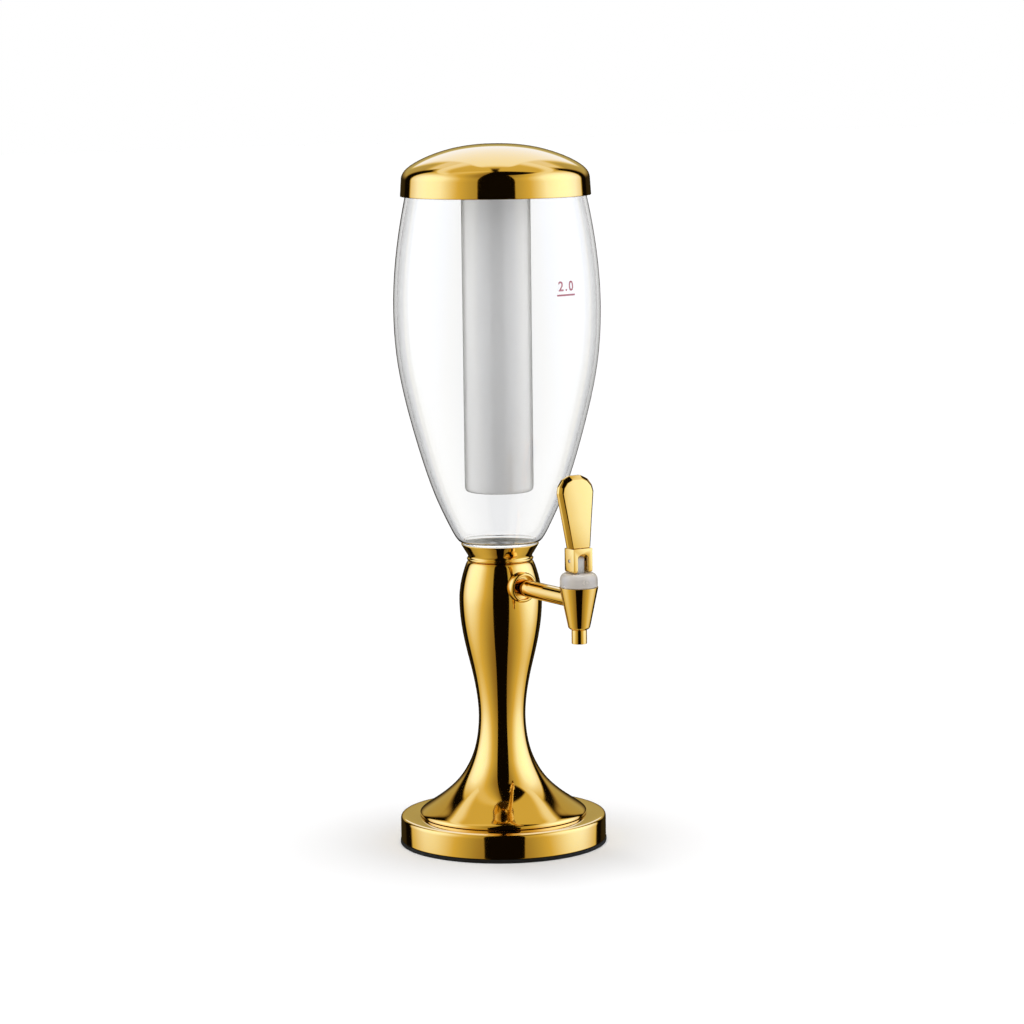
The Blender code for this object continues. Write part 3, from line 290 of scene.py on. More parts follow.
paint.links.new(both.outputs[0], paint.nodes["Material Output"].inputs["Surface"])
floor.data.materials.append(table_paint)
print("table top:", floor.name)

# %% [markdown]
# ## Gold plating
# The gold pieces are plastic with a mirror-bright plating. Real plating isn't perfect: it lies in
# very shallow waves, wears a little duller in soft patches where hands and cloths go, and has hair
# fine rub marks. The shader is a metal of yellow gold under a coat of clear lacquer, which pales the
# highlights. One noise varies its gloss, a much smaller one lifts its surface by a few thousandths
# of a millimetre, and a slow one shifts its colour.

# %% Gold material
def new_finish(name, colour, roughness, **numbers):
    """A material with a Principled shader, with plain values on its sockets."""
    finish = bpy.data.materials.new(name)
    finish.use_nodes = True
    shader = finish.node_tree.nodes["Principled BSDF"]
    shader.inputs["Base Color"].default_value = (*colour, 1.0)
    shader.inputs["Roughness"].default_value = roughness
    for socket, value in numbers.items():
        shader.inputs[socket.replace("_", " ")].default_value = value
    finish.diffuse_color = (*colour, 1.0)
    return finish


def noise(finish, scale, detail=3.0, stretch=(1, 1, 1)):
    """A noise pattern that sits in the object's own space."""
    tree = finish.node_tree
    place = tree.nodes.new("ShaderNodeTexCoord")
    fitted = tree.nodes.new("ShaderNodeMapping")
    fitted.inputs["Scale"].default_value = stretch
    pattern = tree.nodes.new("ShaderNodeTexNoise")
    pattern.inputs["Scale"].default_value = scale
    pattern.inputs["Detail"].default_value = detail
    tree.links.new(place.outputs["Object"], fitted.inputs["Vector"])
    tree.links.new(fitted.outputs["Vector"], pattern.inputs["Vector"])
    return pattern.outputs["Fac"]


def varied(finish, socket, pattern, low, high, ends=(0.35, 0.65)):
    """Lets a pattern move one number of the shader between low and high."""
    tree = finish.node_tree
    spread_out = tree.nodes.new("ShaderNodeMapRange")
    spread_out.inputs["From Min"].default_value, spread_out.inputs["From Max"].default_value = ends
    spread_out.inputs["To Min"].default_value, spread_out.inputs["To Max"].default_value = low, high
    tree.links.new(pattern, spread_out.inputs["Value"])
    tree.links.new(spread_out.outputs["Result"], tree.nodes["Principled BSDF"].inputs[socket])


def tinted(finish, pattern, low, high, ends=(0.3, 0.7)):
    """Lets a pattern move the colour between two close shades."""
    tree = finish.node_tree
    shades = tree.nodes.new("ShaderNodeValToRGB")
    shades.color_ramp.elements[0].position, shades.color_ramp.elements[1].position = ends
    shades.color_ramp.elements[0].color = (*low, 1)
    shades.color_ramp.elements[1].color = (*high, 1)
    tree.links.new(pattern, shades.inputs["Fac"])
    tree.links.new(shades.outputs["Color"], tree.nodes["Principled BSDF"].inputs["Base Color"])


def raised(finish, pattern, depth, strength=1.0):
    """Bumps the surface by a depth in metres."""
    tree = finish.node_tree
    bump = tree.nodes.new("ShaderNodeBump")
    bump.inputs["Distance"].default_value = depth
    bump.inputs["Strength"].default_value = strength
    tree.links.new(pattern, bump.inputs["Height"])
    tree.links.new(bump.outputs["Normal"], tree.nodes["Principled BSDF"].inputs["Normal"])


gold = new_finish(
    "gold plating", (0.92, 0.585, 0.12), 0.06,
    Metallic=1.0, Coat_Weight=1.0, Coat_Roughness=0.03, Coat_IOR=1.7,
)
tinted(gold, noise(gold, 14, 4), (0.905, 0.565, 0.11), (0.935, 0.605, 0.135))
varied(gold, "Roughness", noise(gold, 55, 5), 0.045, 0.085)
raised(gold, noise(gold, 420, 2), 0.000004)
print("finish:", gold.name)

# %% [markdown]
# ## Turning a piece
# The base, the column, the tank and the lid are all round, so they are made as on a lathe. The
# outline is drawn in edit mode, one extruded vertex after the other, and then spun round the axis.
# Three small helpers prepare outlines. One runs a smooth curve through the few points of a flare,
# one rounds a corner, and one gives the inner side of a wall.

# %% Outline helpers
def flowing(points, steps=6):
    """A smooth curve led by a few points: a cubic B-spline, whose bends change evenly."""
    led = [points[0]] * 2 + list(points) + [points[-1]] * 2
    curve = []
    for first, second, third, fourth in zip(led, led[1:], led[2:], led[3:]):
        for step in range(steps):
            t = step / steps
            shares = ((1 - t) ** 3, 3 * t ** 3 - 6 * t ** 2 + 4, -3 * t ** 3 + 3 * t ** 2 + 3 * t + 1, t ** 3)
            curve.append(tuple(
                sum(share * point[axis] for share, point in zip(shares, (first, second, third, fourth))) / 6
                for axis in (0, 1)
            ))
    return [*curve, points[-1]]


def rounded(before, corner, after, size, steps=5):
    """The corner between two points, cut back by a size and rounded."""
    corner_at = Vector(corner)
    start = corner_at + (Vector(before) - corner_at).normalized() * size
    stop = corner_at + (Vector(after) - corner_at).normalized() * size
    arc = []
    for step in range(steps + 1):
        t = step / steps
        arc.append(tuple((1 - t) ** 2 * start + 2 * t * (1 - t) * corner_at + t ** 2 * stop))
    return arc


def wall_inside(outline, thickness):
    """The outline moved towards the axis by a wall's thickness, for an outline that runs upwards."""
    moved = []
    for index, (radius, height_at) in enumerate(outline):
        before, after = outline[max(index - 1, 0)], outline[min(index + 1, len(outline) - 1)]
        way = Vector((after[0] - before[0], after[1] - before[1])).normalized()
        moved.append((radius - way.y * thickness, height_at + way.x * thickness))
    return moved


def close_enough(first, second):
    return math.dist(first, second) < 0.001


TAP_Y, SHANK_Z = -107, 197.5
LATHES = {
    "tower": ((0, 0, 0), (0, 0, 1)),
    "tap": ((0, TAP_Y, 0), (0, 0, 1)),
    "shank": ((0, 0, SHANK_Z), (0, -1, 0)),
}


def line_drawn(points):
    """In edit mode, draws a line of edges through points in millimetres, each extruded from the last."""
    bpy.ops.mesh.primitive_plane_add(size=MM, location=Vector(points[0]) * MM)
    bpy.ops.mesh.merge(type="CENTER")
    for start, stop in zip(points, points[1:]):
        step = (Vector(stop) - Vector(start)) * MM
        bpy.ops.mesh.extrude_vertices_move(TRANSFORM_OT_translate={"value": step})


def begun(name):
    """A new mesh object at the origin, empty and in edit mode."""
    bpy.ops.object.select_all(action="DESELECT")
    bpy.ops.mesh.primitive_plane_add(size=MM)
    piece = bpy.context.object
    piece.name = piece.data.name = name
    bpy.ops.object.mode_set(mode="EDIT")
    bpy.ops.mesh.delete(type="VERT")
    return piece


def turned(name, outline, finish, body, replaced=(), sides=192, lathe="tower"):
    """Draws an outline in millimetres, spins it, and hands the piece to its body."""
    drawn = [point for index, point in enumerate(outline)
             if index == 0 or not close_enough(point, outline[index - 1])]
    if drawn[0][0] or drawn[-1][0]:
        drawn.append(drawn[0])
    centre, axis = (Vector(numbers) for numbers in LATHES[lathe])
    piece = begun(name)
    line_drawn([centre + axis * along_axis + Vector((radius, 0, 0)) for radius, along_axis in drawn])
    bpy.ops.mesh.select_all(action="SELECT")
    bpy.ops.mesh.spin(steps=sides, angle=2 * math.pi, center=centre * MM, axis=axis)
    return closed_and_handed_over(piece, finish, body, replaced)


def closed_and_handed_over(piece, finish, body, replaced=(), smooth=30):
    """Merges doubles, turns the faces outwards, sets the place in the mesh, the finish and the body."""
    bpy.ops.mesh.select_all(action="SELECT")
    bpy.ops.mesh.remove_doubles(threshold=0.002 * MM)
    bpy.ops.mesh.normals_make_consistent(inside=False)
    bpy.ops.object.mode_set(mode="OBJECT")
    bpy.ops.object.transform_apply(location=True, rotation=True, scale=True)
    bpy.ops.object.shade_smooth_by_angle(angle=math.radians(smooth))
    piece.data.materials.clear()
    piece.data.materials.append(finish)
    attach(piece, body)
    if replaced:
        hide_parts(*replaced)
    triangles = sum(len(face.vertices) - 2 for face in piece.data.polygons)
    print(f"{piece.name}: {triangles} triangles")
    return piece


# %% [markdown]
# ## Base
# The base is a gold ring, 155 mm across, with a tight shoulder and a flat top on which the column's
# foot stands. It is open below, where the black cover and the iron weight sit. The outline runs up
# the side, over the shoulder, in along the top, and back under it at the thickness of the wall.

# %% Base ring
shoulder = [(77.5, 17.6), (77.5, 18.6), (77.3, 20.0), (76.5, 20.9), (75.2, 21.2), (73.5, 21.3), (70, 21.3)]
base_outline = [
    (75.7, 2.9), *rounded((75.7, 2.9), (77.5, 2.9), (77.5, 6), 0.7), *flowing(shoulder),
    *rounded((70, 21.3), (59.5, 21.3), (59.5, 19.3), 0.4), (59.5, 19.3), (74.5, 19.3), (75.5, 18.4),
]
turned("gold_base", base_outline, gold, "stand", ["base_rim"], 256)

# %% [markdown]
# ## Column
# The column flares from a narrow waist to a wide foot, and swells to a belly below the collar. The
# foot ends in an upright edge. Its wall is 2 mm, and it is open at both ends. The outer outline
# is one flowing curve led by about twenty points, so that the reflections run without a kink.

# %% Column
flare = [
    (62.8, 23.3), (62.4, 24.1), (60.2, 26.0), (54.6, 29.6), (46.9, 34.8), (38.6, 41.6), (31.8, 48.9),
    (26.6, 57), (21.8, 67), (18.6, 80), (17.3, 95), (18.0, 107.7), (19.9, 120.4), (22.6, 133.1),
    (25.9, 145.9), (28.6, 158.6), (30.5, 171.3), (31.2, 184), (30.8, 191.5), (29.7, 198.5),
    (28.1, 205), (26.3, 210.6), (25.1, 213.4), (24.2, 214.4), (22.9, 214.6),
]
column_outer = [*rounded((60, 21.6), (62.8, 21.6), (62.8, 22.6), 0.3), *flowing(flare)]
column_inner = [point for point in wall_inside(column_outer, 2) if 25 < point[1] < 207 and point[0] < 59]
column_outline = [
    *column_outer, (22, 214.6), (22, 209.1), *reversed(column_inner), (59.8, 24.3), (59.8, 21.6),
]
turned("gold_column", column_outline, gold, "stand", ["column"])

# %% [markdown]
# ## Collar
# The collar is the gold cup between the column and the tank. A small bead runs round its foot, then
# it opens to a thin lip that holds the tank. A tube below it plugs into the column. It is hollow,
# so the outline comes back down inside, at the seat of the tank's seal.

# %% Collar
collar_outer = [
    (23.3, 214.9), (24.4, 215.0), (25.0, 215.7), (25.0, 216.4), (24.3, 217.0), (23.9, 217.6),
    (24.2, 218.8), (25.3, 220.4), (27.2, 223.6), (28.9, 226.4), (29.3, 227.2), (28.6, 227.4),
]
collar_outline = [
    (21.7, 214.9), *flowing(collar_outer, 5), (28.4, 227.3), (27.7, 225.9), (25.5, 222.3),
    (23.6, 219.9), (22.6, 218.3), (22.5, 217.1), (13.3, 217.1), (13.3, 214.9), (19.4, 214.9),
    (19.4, 209.4), (21.7, 209.4),
]
turned("gold_collar", collar_outline, gold, "stand", ["collar"])

# %% [markdown]
# ## Clear plastic
# The tank is clear acrylic, blown thick enough to show its own wall. A Principled shader with full
# transmission bends and mirrors light as acrylic does, at an index of 1.49. The wall has two real
# surfaces, so the light is bent twice, and its edge turns grey. Blown acrylic isn't dead flat, so a
# slow noise waves it a little, and a fine one dulls its polish. The thick neck below 222 mm comes
# matt from the mould, so the roughness jumps up there.

# %% Clear material
NECK_TOP, NECK_EDGE, NECK_ROUGHNESS = 0.2222, 0.001, 0.42
clear = new_finish("clear acrylic", (0.985, 0.988, 0.99), 0.01, Transmission_Weight=1.0, IOR=1.49)
varied(clear, "Roughness", noise(clear, 40, 4), 0.002, 0.012)
polish = clear.node_tree.nodes["Principled BSDF"].inputs["Roughness"].links[0].from_socket
place = clear.node_tree.nodes.new("ShaderNodeTexCoord")
upwards = clear.node_tree.nodes.new("ShaderNodeSeparateXYZ")
matt_neck = clear.node_tree.nodes.new("ShaderNodeMapRange")
matt_neck.inputs["From Min"].default_value = NECK_TOP
matt_neck.inputs["From Max"].default_value = NECK_TOP + NECK_EDGE
matt_neck.inputs["To Min"].default_value = NECK_ROUGHNESS
for start, stop in (
    (place.outputs["Object"], upwards.inputs[0]), (upwards.outputs["Z"], matt_neck.inputs["Value"]),
    (polish, matt_neck.inputs["To Max"]),
    (matt_neck.outputs["Result"], clear.node_tree.nodes["Principled BSDF"].inputs["Roughness"]),
):
    clear.node_tree.links.new(start, stop)
raised(clear, noise(clear, 16, 1, (1, 1, 0.4)), 0.00003, 0.5)
print("finish:", clear.name)

# %% [markdown]
# ## Tank
# The tank is a slim vase: narrow at the collar, widest at two thirds of its height, and drawn in
# again under the lid. A short neck goes down through the collar, where a nut clamps it. The wall
# follows the outer curve at 2.5 mm, and runs out in a thick floor, as blown plastic does.

# %% Tank
vase = [
    (27.7, 227.9), (29.8, 228.6), (32.9, 231.6), (37.6, 240.7), (43.9, 254), (49.4, 267), (55.7, 285.6),
    (61.9, 306.8), (68.2, 330.5), (73.3, 354.3), (76.1, 375.4), (77.3, 399.2), (76.7, 422.9),
    (74.4, 446.6), (70.9, 469), (67.6, 485), (66.4, 491.3),
]
vase_outer = flowing(vase)
vase_inner = [point for point in wall_inside(vase_outer, 2.5) if point[1] > 229.5]
tank_outline = [
    (6.8, 207.2), (12.6, 207.2), (13, 207.6), (13, 219.2), (21.4, 219.2), (27.2, 226.4),
    *vase_outer, *rounded((66.4, 491.2), (66.3, 491.5), (64, 491.5), 0.2), (64.2, 491.5),
    *reversed(vase_inner), (26.6, 226.0), (23.6, 222.6), (21, 221.7), (6.8, 221.7),
]
tank = turned("clear_tank", tank_outline, clear, "stand", ["tank"])

# %% [markdown]
# ## Frosted plastic
# The ice tube is milky plastic. Light goes in, scatters and comes out soft, and its satin skin still
# shows a broad sheen. The shader mixes a little rough transmission into a pale, matt body under a
# clear coat.

# %% Frosted material
frosted = new_finish(
    "frosted plastic", (0.95, 0.95, 0.955), 0.36, Transmission_Weight=0.12, IOR=1.45,
    Coat_Weight=1.0, Coat_Roughness=0.1, Coat_IOR=2.0,
)
varied(frosted, "Roughness", noise(frosted, 90, 4), 0.30, 0.42)
tinted(frosted, noise(frosted, 9, 2, (1, 1, 0.25)), (0.93, 0.93, 0.935), (0.965, 0.965, 0.965))
raised(frosted, noise(frosted, 900, 2), 0.000015)
print("finish:", frosted.name)

# %% [markdown]
# ## Ice tube
# A long tube with a closed, rounded foot. It is filled with ice through its mouth, and its thicker
# collar turns into the socket of the lid's liner.

# %% Ice tube
tube_foot = [(21.2, 267), (23.6, 267), (25.1, 268), (25.7, 270.2), (25.7, 274)]
tube_outline = [
    (0, 267), *flowing(tube_foot), (25.7, 485.5), *rounded((25.7, 485.9), (27.5, 485.9), (27.5, 487), 0.4),
    *rounded((27.5, 490), (27.5, 491.5), (25, 491.5), 0.4), (23.7, 491.5), (23.7, 271.4), (22.9, 269.5),
    (21.2, 269), (0, 269),
]
tube = turned("frosted_tube", tube_outline, frosted, "ice_tube", ["ice_tube"], 160)

# %% [markdown]
# ## Lid
# The lid is a low gold dome over a short, nearly upright skirt. The two meet in a soft bend, which
# mirrors the room in a narrow band. Inside is a plain wall of 2.1 mm, and a white liner under it.

# %% Lid
dome = [
    (69.9, 499.0), (69.75, 501.2), (68.6, 504.2), (65.7, 507.6), (60.8, 511.0), (53.4, 514.9),
    (43.3, 518.9), (29.8, 522.7), (14.6, 524.8), (5, 525.05), (0, 525.05),
]
dome_outer = [*rounded((68.6, 486.9), (70.7, 486.9), (70.6, 488.5), 0.5), (70.6, 488.6), *flowing(dome)]
dome_inner = [point for point in wall_inside(dome_outer, 2.1) if point[1] > 499 and point[0] > 1]
lid_outline = [(0, 522.9), *reversed(dome_inner), (68.5, 498), (68.6, 486.9), *dome_outer]
turned("gold_lid", lid_outline, gold, "lid", ["lid"], 256)

# %% [markdown]
# ## Liner
# White moulded plastic closes the lid from below. One ring of it plugs the tank's mouth and another
# holds the ice tube. Moulded plastic has a faint grain and a soft shine. The gold foot lies right
# below the tank and would mirror it as a pale patch, so tank, tube and liner are kept out of the
# reflections.

# %% White material and liner
white = new_finish("white moulded plastic", (0.86, 0.86, 0.85), 0.34)
tinted(white, noise(white, 12, 3), (0.83, 0.83, 0.815), (0.88, 0.88, 0.875))
varied(white, "Roughness", noise(white, 120, 4), 0.28, 0.42)
raised(white, noise(white, 1400, 2), 0.00001)

liner_outline = [
    (0, 493.6), (27.8, 493.6), (27.8, 486.4), (28.2, 486), (29.8, 486), (30.2, 486.4), (30.2, 493.2),
    (30.6, 493.6), (60.5, 493.6), (60.9, 493.2), (60.9, 486.8), (61.3, 486.4), (62.4, 486.4),
    (62.9, 487.2), (62.9, 493.6), (67.2, 493.6), (67.6, 494), (67.6, 495.8), (67.2, 496.2), (0, 496.2),
]
liner = turned("white_liner", liner_outline, white, "lid", ["lid_insert"], 160)
for piece in (tank, tube, liner):
    piece.visible_glossy = False

# %% [markdown]
# ## Outlet in the tank's floor
# The steel fitting shows through the clear bottom as a bright ring. It has a bevelled flange with a
# shallow groove and stands on a soft ring. Under the tank lies a seat of the same silicone, whose
# lip lines the collar and shows as a pale band through the clear foot.

# %% Steel, silicone and outlet
steel = new_finish("stainless steel", (0.60, 0.60, 0.61), 0.24, Metallic=1.0)
tinted(steel, noise(steel, 30, 3), (0.55, 0.55, 0.56), (0.64, 0.64, 0.645))
varied(steel, "Roughness", noise(steel, 260, 3, (1, 1, 12)), 0.18, 0.34)
raised(steel, noise(steel, 500, 2, (1, 1, 10)), 0.000006)

silicone = new_finish("silicone", (0.78, 0.78, 0.76), 0.55, Transmission_Weight=0.12)
tinted(silicone, noise(silicone, 40, 2), (0.74, 0.74, 0.72), (0.81, 0.81, 0.79))
varied(silicone, "Roughness", noise(silicone, 300, 3), 0.48, 0.62)

fitting_outline = [
    (4, 202.7), (6.1, 202.7), (6.5, 203.1), (6.5, 223.8), (10.6, 223.8), (11, 224.1), (11, 224.9),
    (10.3, 225.55), (9.2, 225.6), (8.9, 225.2), (7.6, 225.2), (7.3, 225.6), (4.6, 225.6), (4, 225),
]
turned("steel_fitting", fitting_outline, steel, "stand", ["outlet_fitting"], 96)
outlet_ring = [(6.8, 222), (10.4, 222), (10.7, 222.3), (10.7, 223.2), (10.4, 223.5), (6.8, 223.5)]
turned("silicone_ring", outlet_ring, silicone, "stand", ["outlet_seal"], 96)
seat_outline = [
    (13.6, 217.2), (22.2, 217.2), (22.45, 218.4), (23.4, 220), (25.3, 222.5), (27.5, 226), (28.1, 227.2),
    (27.7, 227.3), (27.3, 226.3), (21.5, 219.05), (20.6, 218.9), (13.6, 218.9),
]
turned("silicone_seat", seat_outline, silicone, "stand", ["tank_seal"], 128)

# %% [markdown]
# ## Tap
# A threaded tube carries the tap in front of the column. A round ring hides the hole it comes
# through: a bright full rim, and a deep dark groove round the tube. The tap's body is a cone,
# chamfered at its foot, with a short spout below. All four are turned too: the tube and its ring on
# an axis that points to the front, the body and the spout upright on the tap's own axis.

# %% Tap
rosette_outline = [
    (6.6, 28.4), (11.3, 28.4), *flowing([
        (11.6, 28.8), (11.6, 30.6), (11.5, 32.2), (10.9, 33.5), (10, 34.3), (9.2, 34.3), (8.6, 33.6),
        (8.4, 32),
    ], 4), (8.3, 29.8), (6.6, 29.8),
]
turned("gold_rosette", rosette_outline, gold, "stand", ["shank_flange"], 128, "shank")
tube_wall = [
    (3.5, 11.3), (6, 11.3), (6.35, 11.7), (6.35, 97.8), (6, 98.2), (3.5, 98.2),
]
turned("gold_shank", tube_wall, gold, "stand", ["shank"], 96, "shank")
cone_outline = [
    (5.3, 176.7), *rounded((5.3, 176.7), (6.9, 176.7), (8, 178), 0.4),
    *rounded((6.9, 176.7), (8, 178), (8.4, 180), 0.4),
    *rounded((8.4, 180), (14.2, 207.5), (12, 207.5), 0.3), (8.2, 207.5), (8.2, 203.5), (7.2, 203.5),
    (7.2, 186.5), (3.4, 186.5), (3.4, 181.9), (5.3, 181.9),
]
turned("gold_tap", cone_outline, gold, "stand", ["tap_body"], 128, "tap")
spout_outline = [
    (3.4, 166.4), (3.7, 166), *rounded((5, 166), (5.6, 166), (5.6, 168), 0.3), (5.6, 176.1),
    (5.3, 176.4), (5, 176.4), (5, 181.4), (4.8, 181.6), (3.4, 181.6),
]
turned("gold_spout", spout_outline, gold, "stand", ["tap_nozzle"], 96, "tap")

# %% [markdown]
# ## Bonnet
# The nut on top of the tap is moulded in a cloudy clear plastic. It has a rounded shoulder, and a
# skirt below that screws into the body. Light passes through it dimly, so it looks whitish grey.

# %% Cloudy material and bonnet
cloudy = new_finish("cloudy plastic", (0.84, 0.79, 0.735), 0.2, Transmission_Weight=0.3, IOR=1.47)
tinted(cloudy, noise(cloudy, 60, 2), (0.82, 0.77, 0.715), (0.87, 0.82, 0.765))
varied(cloudy, "Roughness", noise(cloudy, 150, 3), 0.16, 0.28)
raised(cloudy, noise(cloudy, 260, 2), 0.000004)

bonnet_outline = [
    (6.6, 205.6), (7.9, 205.6), (7.9, 207.6), (8.3, 207.8),
    *rounded((8.3, 207.8), (13.8, 207.8), (13.8, 209), 0.5),
    *flowing([(13.8, 210), (13.8, 212.6), (13.6, 214.4), (12.7, 216.4), (11.2, 217.6), (9.6, 217.8)], 4),
    *rounded((9.8, 217.8), (4.4, 217.8), (4.4, 217), 0.3), (4.4, 216.1), (4.7, 215.8),
    (6.3, 215.8), (6.6, 215.5),
]
turned("cloudy_bonnet", bonnet_outline, cloudy, "stand", ["tap_bonnet"], 128, "tap")

# %% [markdown]
# ## Spring
# A coil of steel wire under the bonnet's roof presses the valve shut. A circle, as thick as the wire,
# is wound up by a screw modifier, and its ends are closed. The coil is handed to the stem and moves
# with it as one piece.

# %% Spring
WIRE, COIL, COILS, LIFT = 0.4, 5, 4, 2.6
spring_foot, spring_head = (corner[2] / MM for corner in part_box("valve_spring"))
bpy.ops.object.select_all(action="DESELECT")
bpy.ops.mesh.primitive_circle_add(vertices=12, radius=WIRE * MM, location=(0, TAP_Y * MM, 0))
spring = bpy.context.object
spring.name = spring.data.name = "steel_spring"
bpy.ops.object.mode_set(mode="EDIT")
bpy.ops.mesh.select_all(action="SELECT")
bpy.ops.transform.rotate(value=math.pi / 2, orient_axis="X")
bpy.ops.transform.translate(value=(COIL * MM, 0, (spring_foot + WIRE) * MM))
bpy.ops.object.mode_set(mode="OBJECT")
wound = spring.modifiers.new("wound", "SCREW")
wound.screw_offset = (spring_head - spring_foot - 2 * WIRE) / COILS * MM
wound.iterations, wound.steps, wound.render_steps = COILS, 32, 32
bpy.ops.object.modifier_apply(modifier=wound.name)
bpy.ops.object.mode_set(mode="EDIT")
bpy.ops.mesh.select_all(action="SELECT")
bpy.ops.mesh.fill_holes(sides=0)
closed_and_handed_over(spring, steel, "stem", ["valve_spring"])
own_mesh(spring)

# %% [markdown]
# ## Yoke
# The yoke is a gold block with a slot that straddles the stem's blade, and the pin passes through
# both cheeks. Its rear face is drawn with the arch of the slot, filled, and pulled forward into a
# block. The two lower edges are rounded, as they roll on the bonnet when the lever tilts. Then the
# sharp edges are softened, and the pin's hole is bored.

# %% Yoke
def picked(holds, kind="verts"):
    """In edit mode, selects what has all its points, in millimetres, where a test holds."""
    bpy.ops.mesh.select_all(action="DESELECT")
    piece = bpy.context.object
    edit = bmesh.from_edit_mesh(piece.data)
    for element in getattr(edit, kind):
        points = [element] if kind == "verts" else element.verts
        element.select_set(all(holds((piece.matrix_world @ point.co) / MM) for point in points))
    edit.select_flush_mode()
    bmesh.update_edit_mesh(piece.data)


def edges_softened(piece, width, sharper_than, steps=3):
    """Bevels the edges that are sharper than an angle, with a modifier that is applied."""
    bpy.ops.object.mode_set(mode="OBJECT")
    soft = piece.modifiers.new("soft edges", "BEVEL")
    soft.width, soft.segments = width * MM, steps
    soft.limit_method, soft.angle_limit = "ANGLE", math.radians(sharper_than)
    bpy.ops.object.modifier_apply(modifier=soft.name)
    bpy.ops.object.mode_set(mode="EDIT")


YOKE_REAR, YOKE_DEPTH, YOKE_HALF, YOKE_FOOT, YOKE_TOP = -100.85, 12.3, 8.1, 218.1, 236
SLOT_HALF, ARCH_FOOT, ARCH_RISE, PIN_Z, PIN_RADIUS = 4.5, 229, 3, 227, 1.4
arch_turns = [math.pi * step / 12 for step in range(13)]
slot_arch = [(-SLOT_HALF * math.cos(turn), ARCH_FOOT + ARCH_RISE * math.sin(turn)) for turn in arch_turns]
rear_face = [
    (-SLOT_HALF, YOKE_FOOT), *slot_arch, (SLOT_HALF, YOKE_FOOT), (YOKE_HALF, YOKE_FOOT),
    (YOKE_HALF, YOKE_TOP), (-YOKE_HALF, YOKE_TOP), (-YOKE_HALF, YOKE_FOOT), (-SLOT_HALF, YOKE_FOOT),
]
yoke = begun("gold_yoke")
line_drawn([(across, YOKE_REAR, up) for across, up in rear_face])
bpy.ops.mesh.select_all(action="SELECT")
bpy.ops.mesh.remove_doubles(threshold=0.002 * MM)
bpy.ops.mesh.edge_face_add()
bpy.ops.mesh.extrude_region_move(TRANSFORM_OT_translate={"value": (0, -YOKE_DEPTH * MM, 0)})
bpy.ops.mesh.select_mode(type="EDGE")
halfway = YOKE_REAR - YOKE_DEPTH / 2
picked(lambda place: place.z < YOKE_FOOT + 0.1 and abs(place.y - halfway) > YOKE_DEPTH / 2 - 0.05, "edges")
bpy.ops.mesh.bevel(offset=2 * MM, segments=6, affect="EDGES")
bpy.ops.mesh.select_mode(type="VERT")
bpy.ops.mesh.select_all(action="SELECT")
bpy.ops.mesh.normals_make_consistent(inside=False)
edges_softened(yoke, 0.7, 40)
bpy.ops.object.mode_set(mode="OBJECT")

bpy.ops.mesh.primitive_cylinder_add(
    vertices=48, radius=PIN_RADIUS * MM, depth=20 * MM,
    location=(0, TAP_Y * MM, PIN_Z * MM), rotation=(0, math.pi / 2, 0),
)
drill = bpy.context.object
bpy.ops.object.select_all(action="DESELECT")
bpy.context.view_layer.objects.active = yoke
yoke.select_set(True)
bored = yoke.modifiers.new("pin hole", "BOOLEAN")
bored.object, bored.operation, bored.solver = drill, "DIFFERENCE", "EXACT"
bpy.ops.object.modifier_apply(modifier=bored.name)
bpy.data.objects.remove(drill)
bpy.ops.object.mode_set(mode="EDIT")
closed_and_handed_over(yoke, gold, "lever", ["lever_yoke"])

# %% [markdown]
# ## Paddle
# The handle is a flat paddle, wide at the top, with a chamfer that runs all round its face. Four
# outlines are drawn, face, edge, edge and back, each with six corners a side, and bridged. The
# facets stay flat, and only their edges are softened, so each facet mirrors one part of the tent.
# The paddle leans back towards the tank by a few degrees, so each point moves back as it rises.

# %% Paddle
PADDLE_FOOT, PADDLE_RISE, PADDLE_HALF, PADDLE_LEAN = 236.3, 52.2, 15.2, 5.0
EDGE_SHARES = ((0.62, 0), (0.81, 0.4), (1, 0.765), (0.93, 0.855), (0.7, 0.945), (0.32, 1))
FACE_SHARES = ((0.45, 0), (0.635, 0.4), (0.82, 0.765), (0.75, 0.84), (0.56, 0.905), (0.27, 0.942))
layers = ((FACE_SHARES, -111.2), (EDGE_SHARES, -108.35), (EDGE_SHARES, -105.65), (FACE_SHARES, -102.8))

paddle = begun("gold_paddle")
for shares, layer_y in layers:
    one_side = [
        (PADDLE_HALF * across, layer_y + PADDLE_LEAN * up, PADDLE_FOOT + PADDLE_RISE * up)
        for across, up in shares
    ]
    other_side = [(-place[0], place[1], place[2]) for place in reversed(one_side)]
    bpy.ops.mesh.select_all(action="DESELECT")
    line_drawn([*one_side, *other_side, one_side[0]])
bpy.ops.mesh.select_all(action="SELECT")
bpy.ops.mesh.remove_doubles(threshold=0.002 * MM)


def depth_in_paddle(place):
    return place.y - PADDLE_LEAN * (place.z - PADDLE_FOOT) / PADDLE_RISE


for (first_shares, first_y), (second_shares, second_y) in zip(layers, layers[1:]):
    picked(lambda place: first_y - 0.1 < depth_in_paddle(place) < second_y + 0.1)
    bpy.ops.mesh.bridge_edge_loops()
for cap_y in (layers[0][1], layers[-1][1]):
    picked(lambda place: abs(depth_in_paddle(place) - cap_y) < 0.1)
    bpy.ops.mesh.edge_face_add()
bpy.ops.mesh.select_all(action="SELECT")
bpy.ops.mesh.normals_make_consistent(inside=False)
edges_softened(paddle, 0.35, 15)
closed_and_handed_over(paddle, gold, "lever", ["lever_paddle"])

# %% [markdown]
# ## Mat
# A thin rubber disc under the base keeps the tower from sliding. It stands out a little beyond the
# gold and shows as a black line under it. Its edge is rounded, and shallow grooves run round below,
# as moulded feet have them.

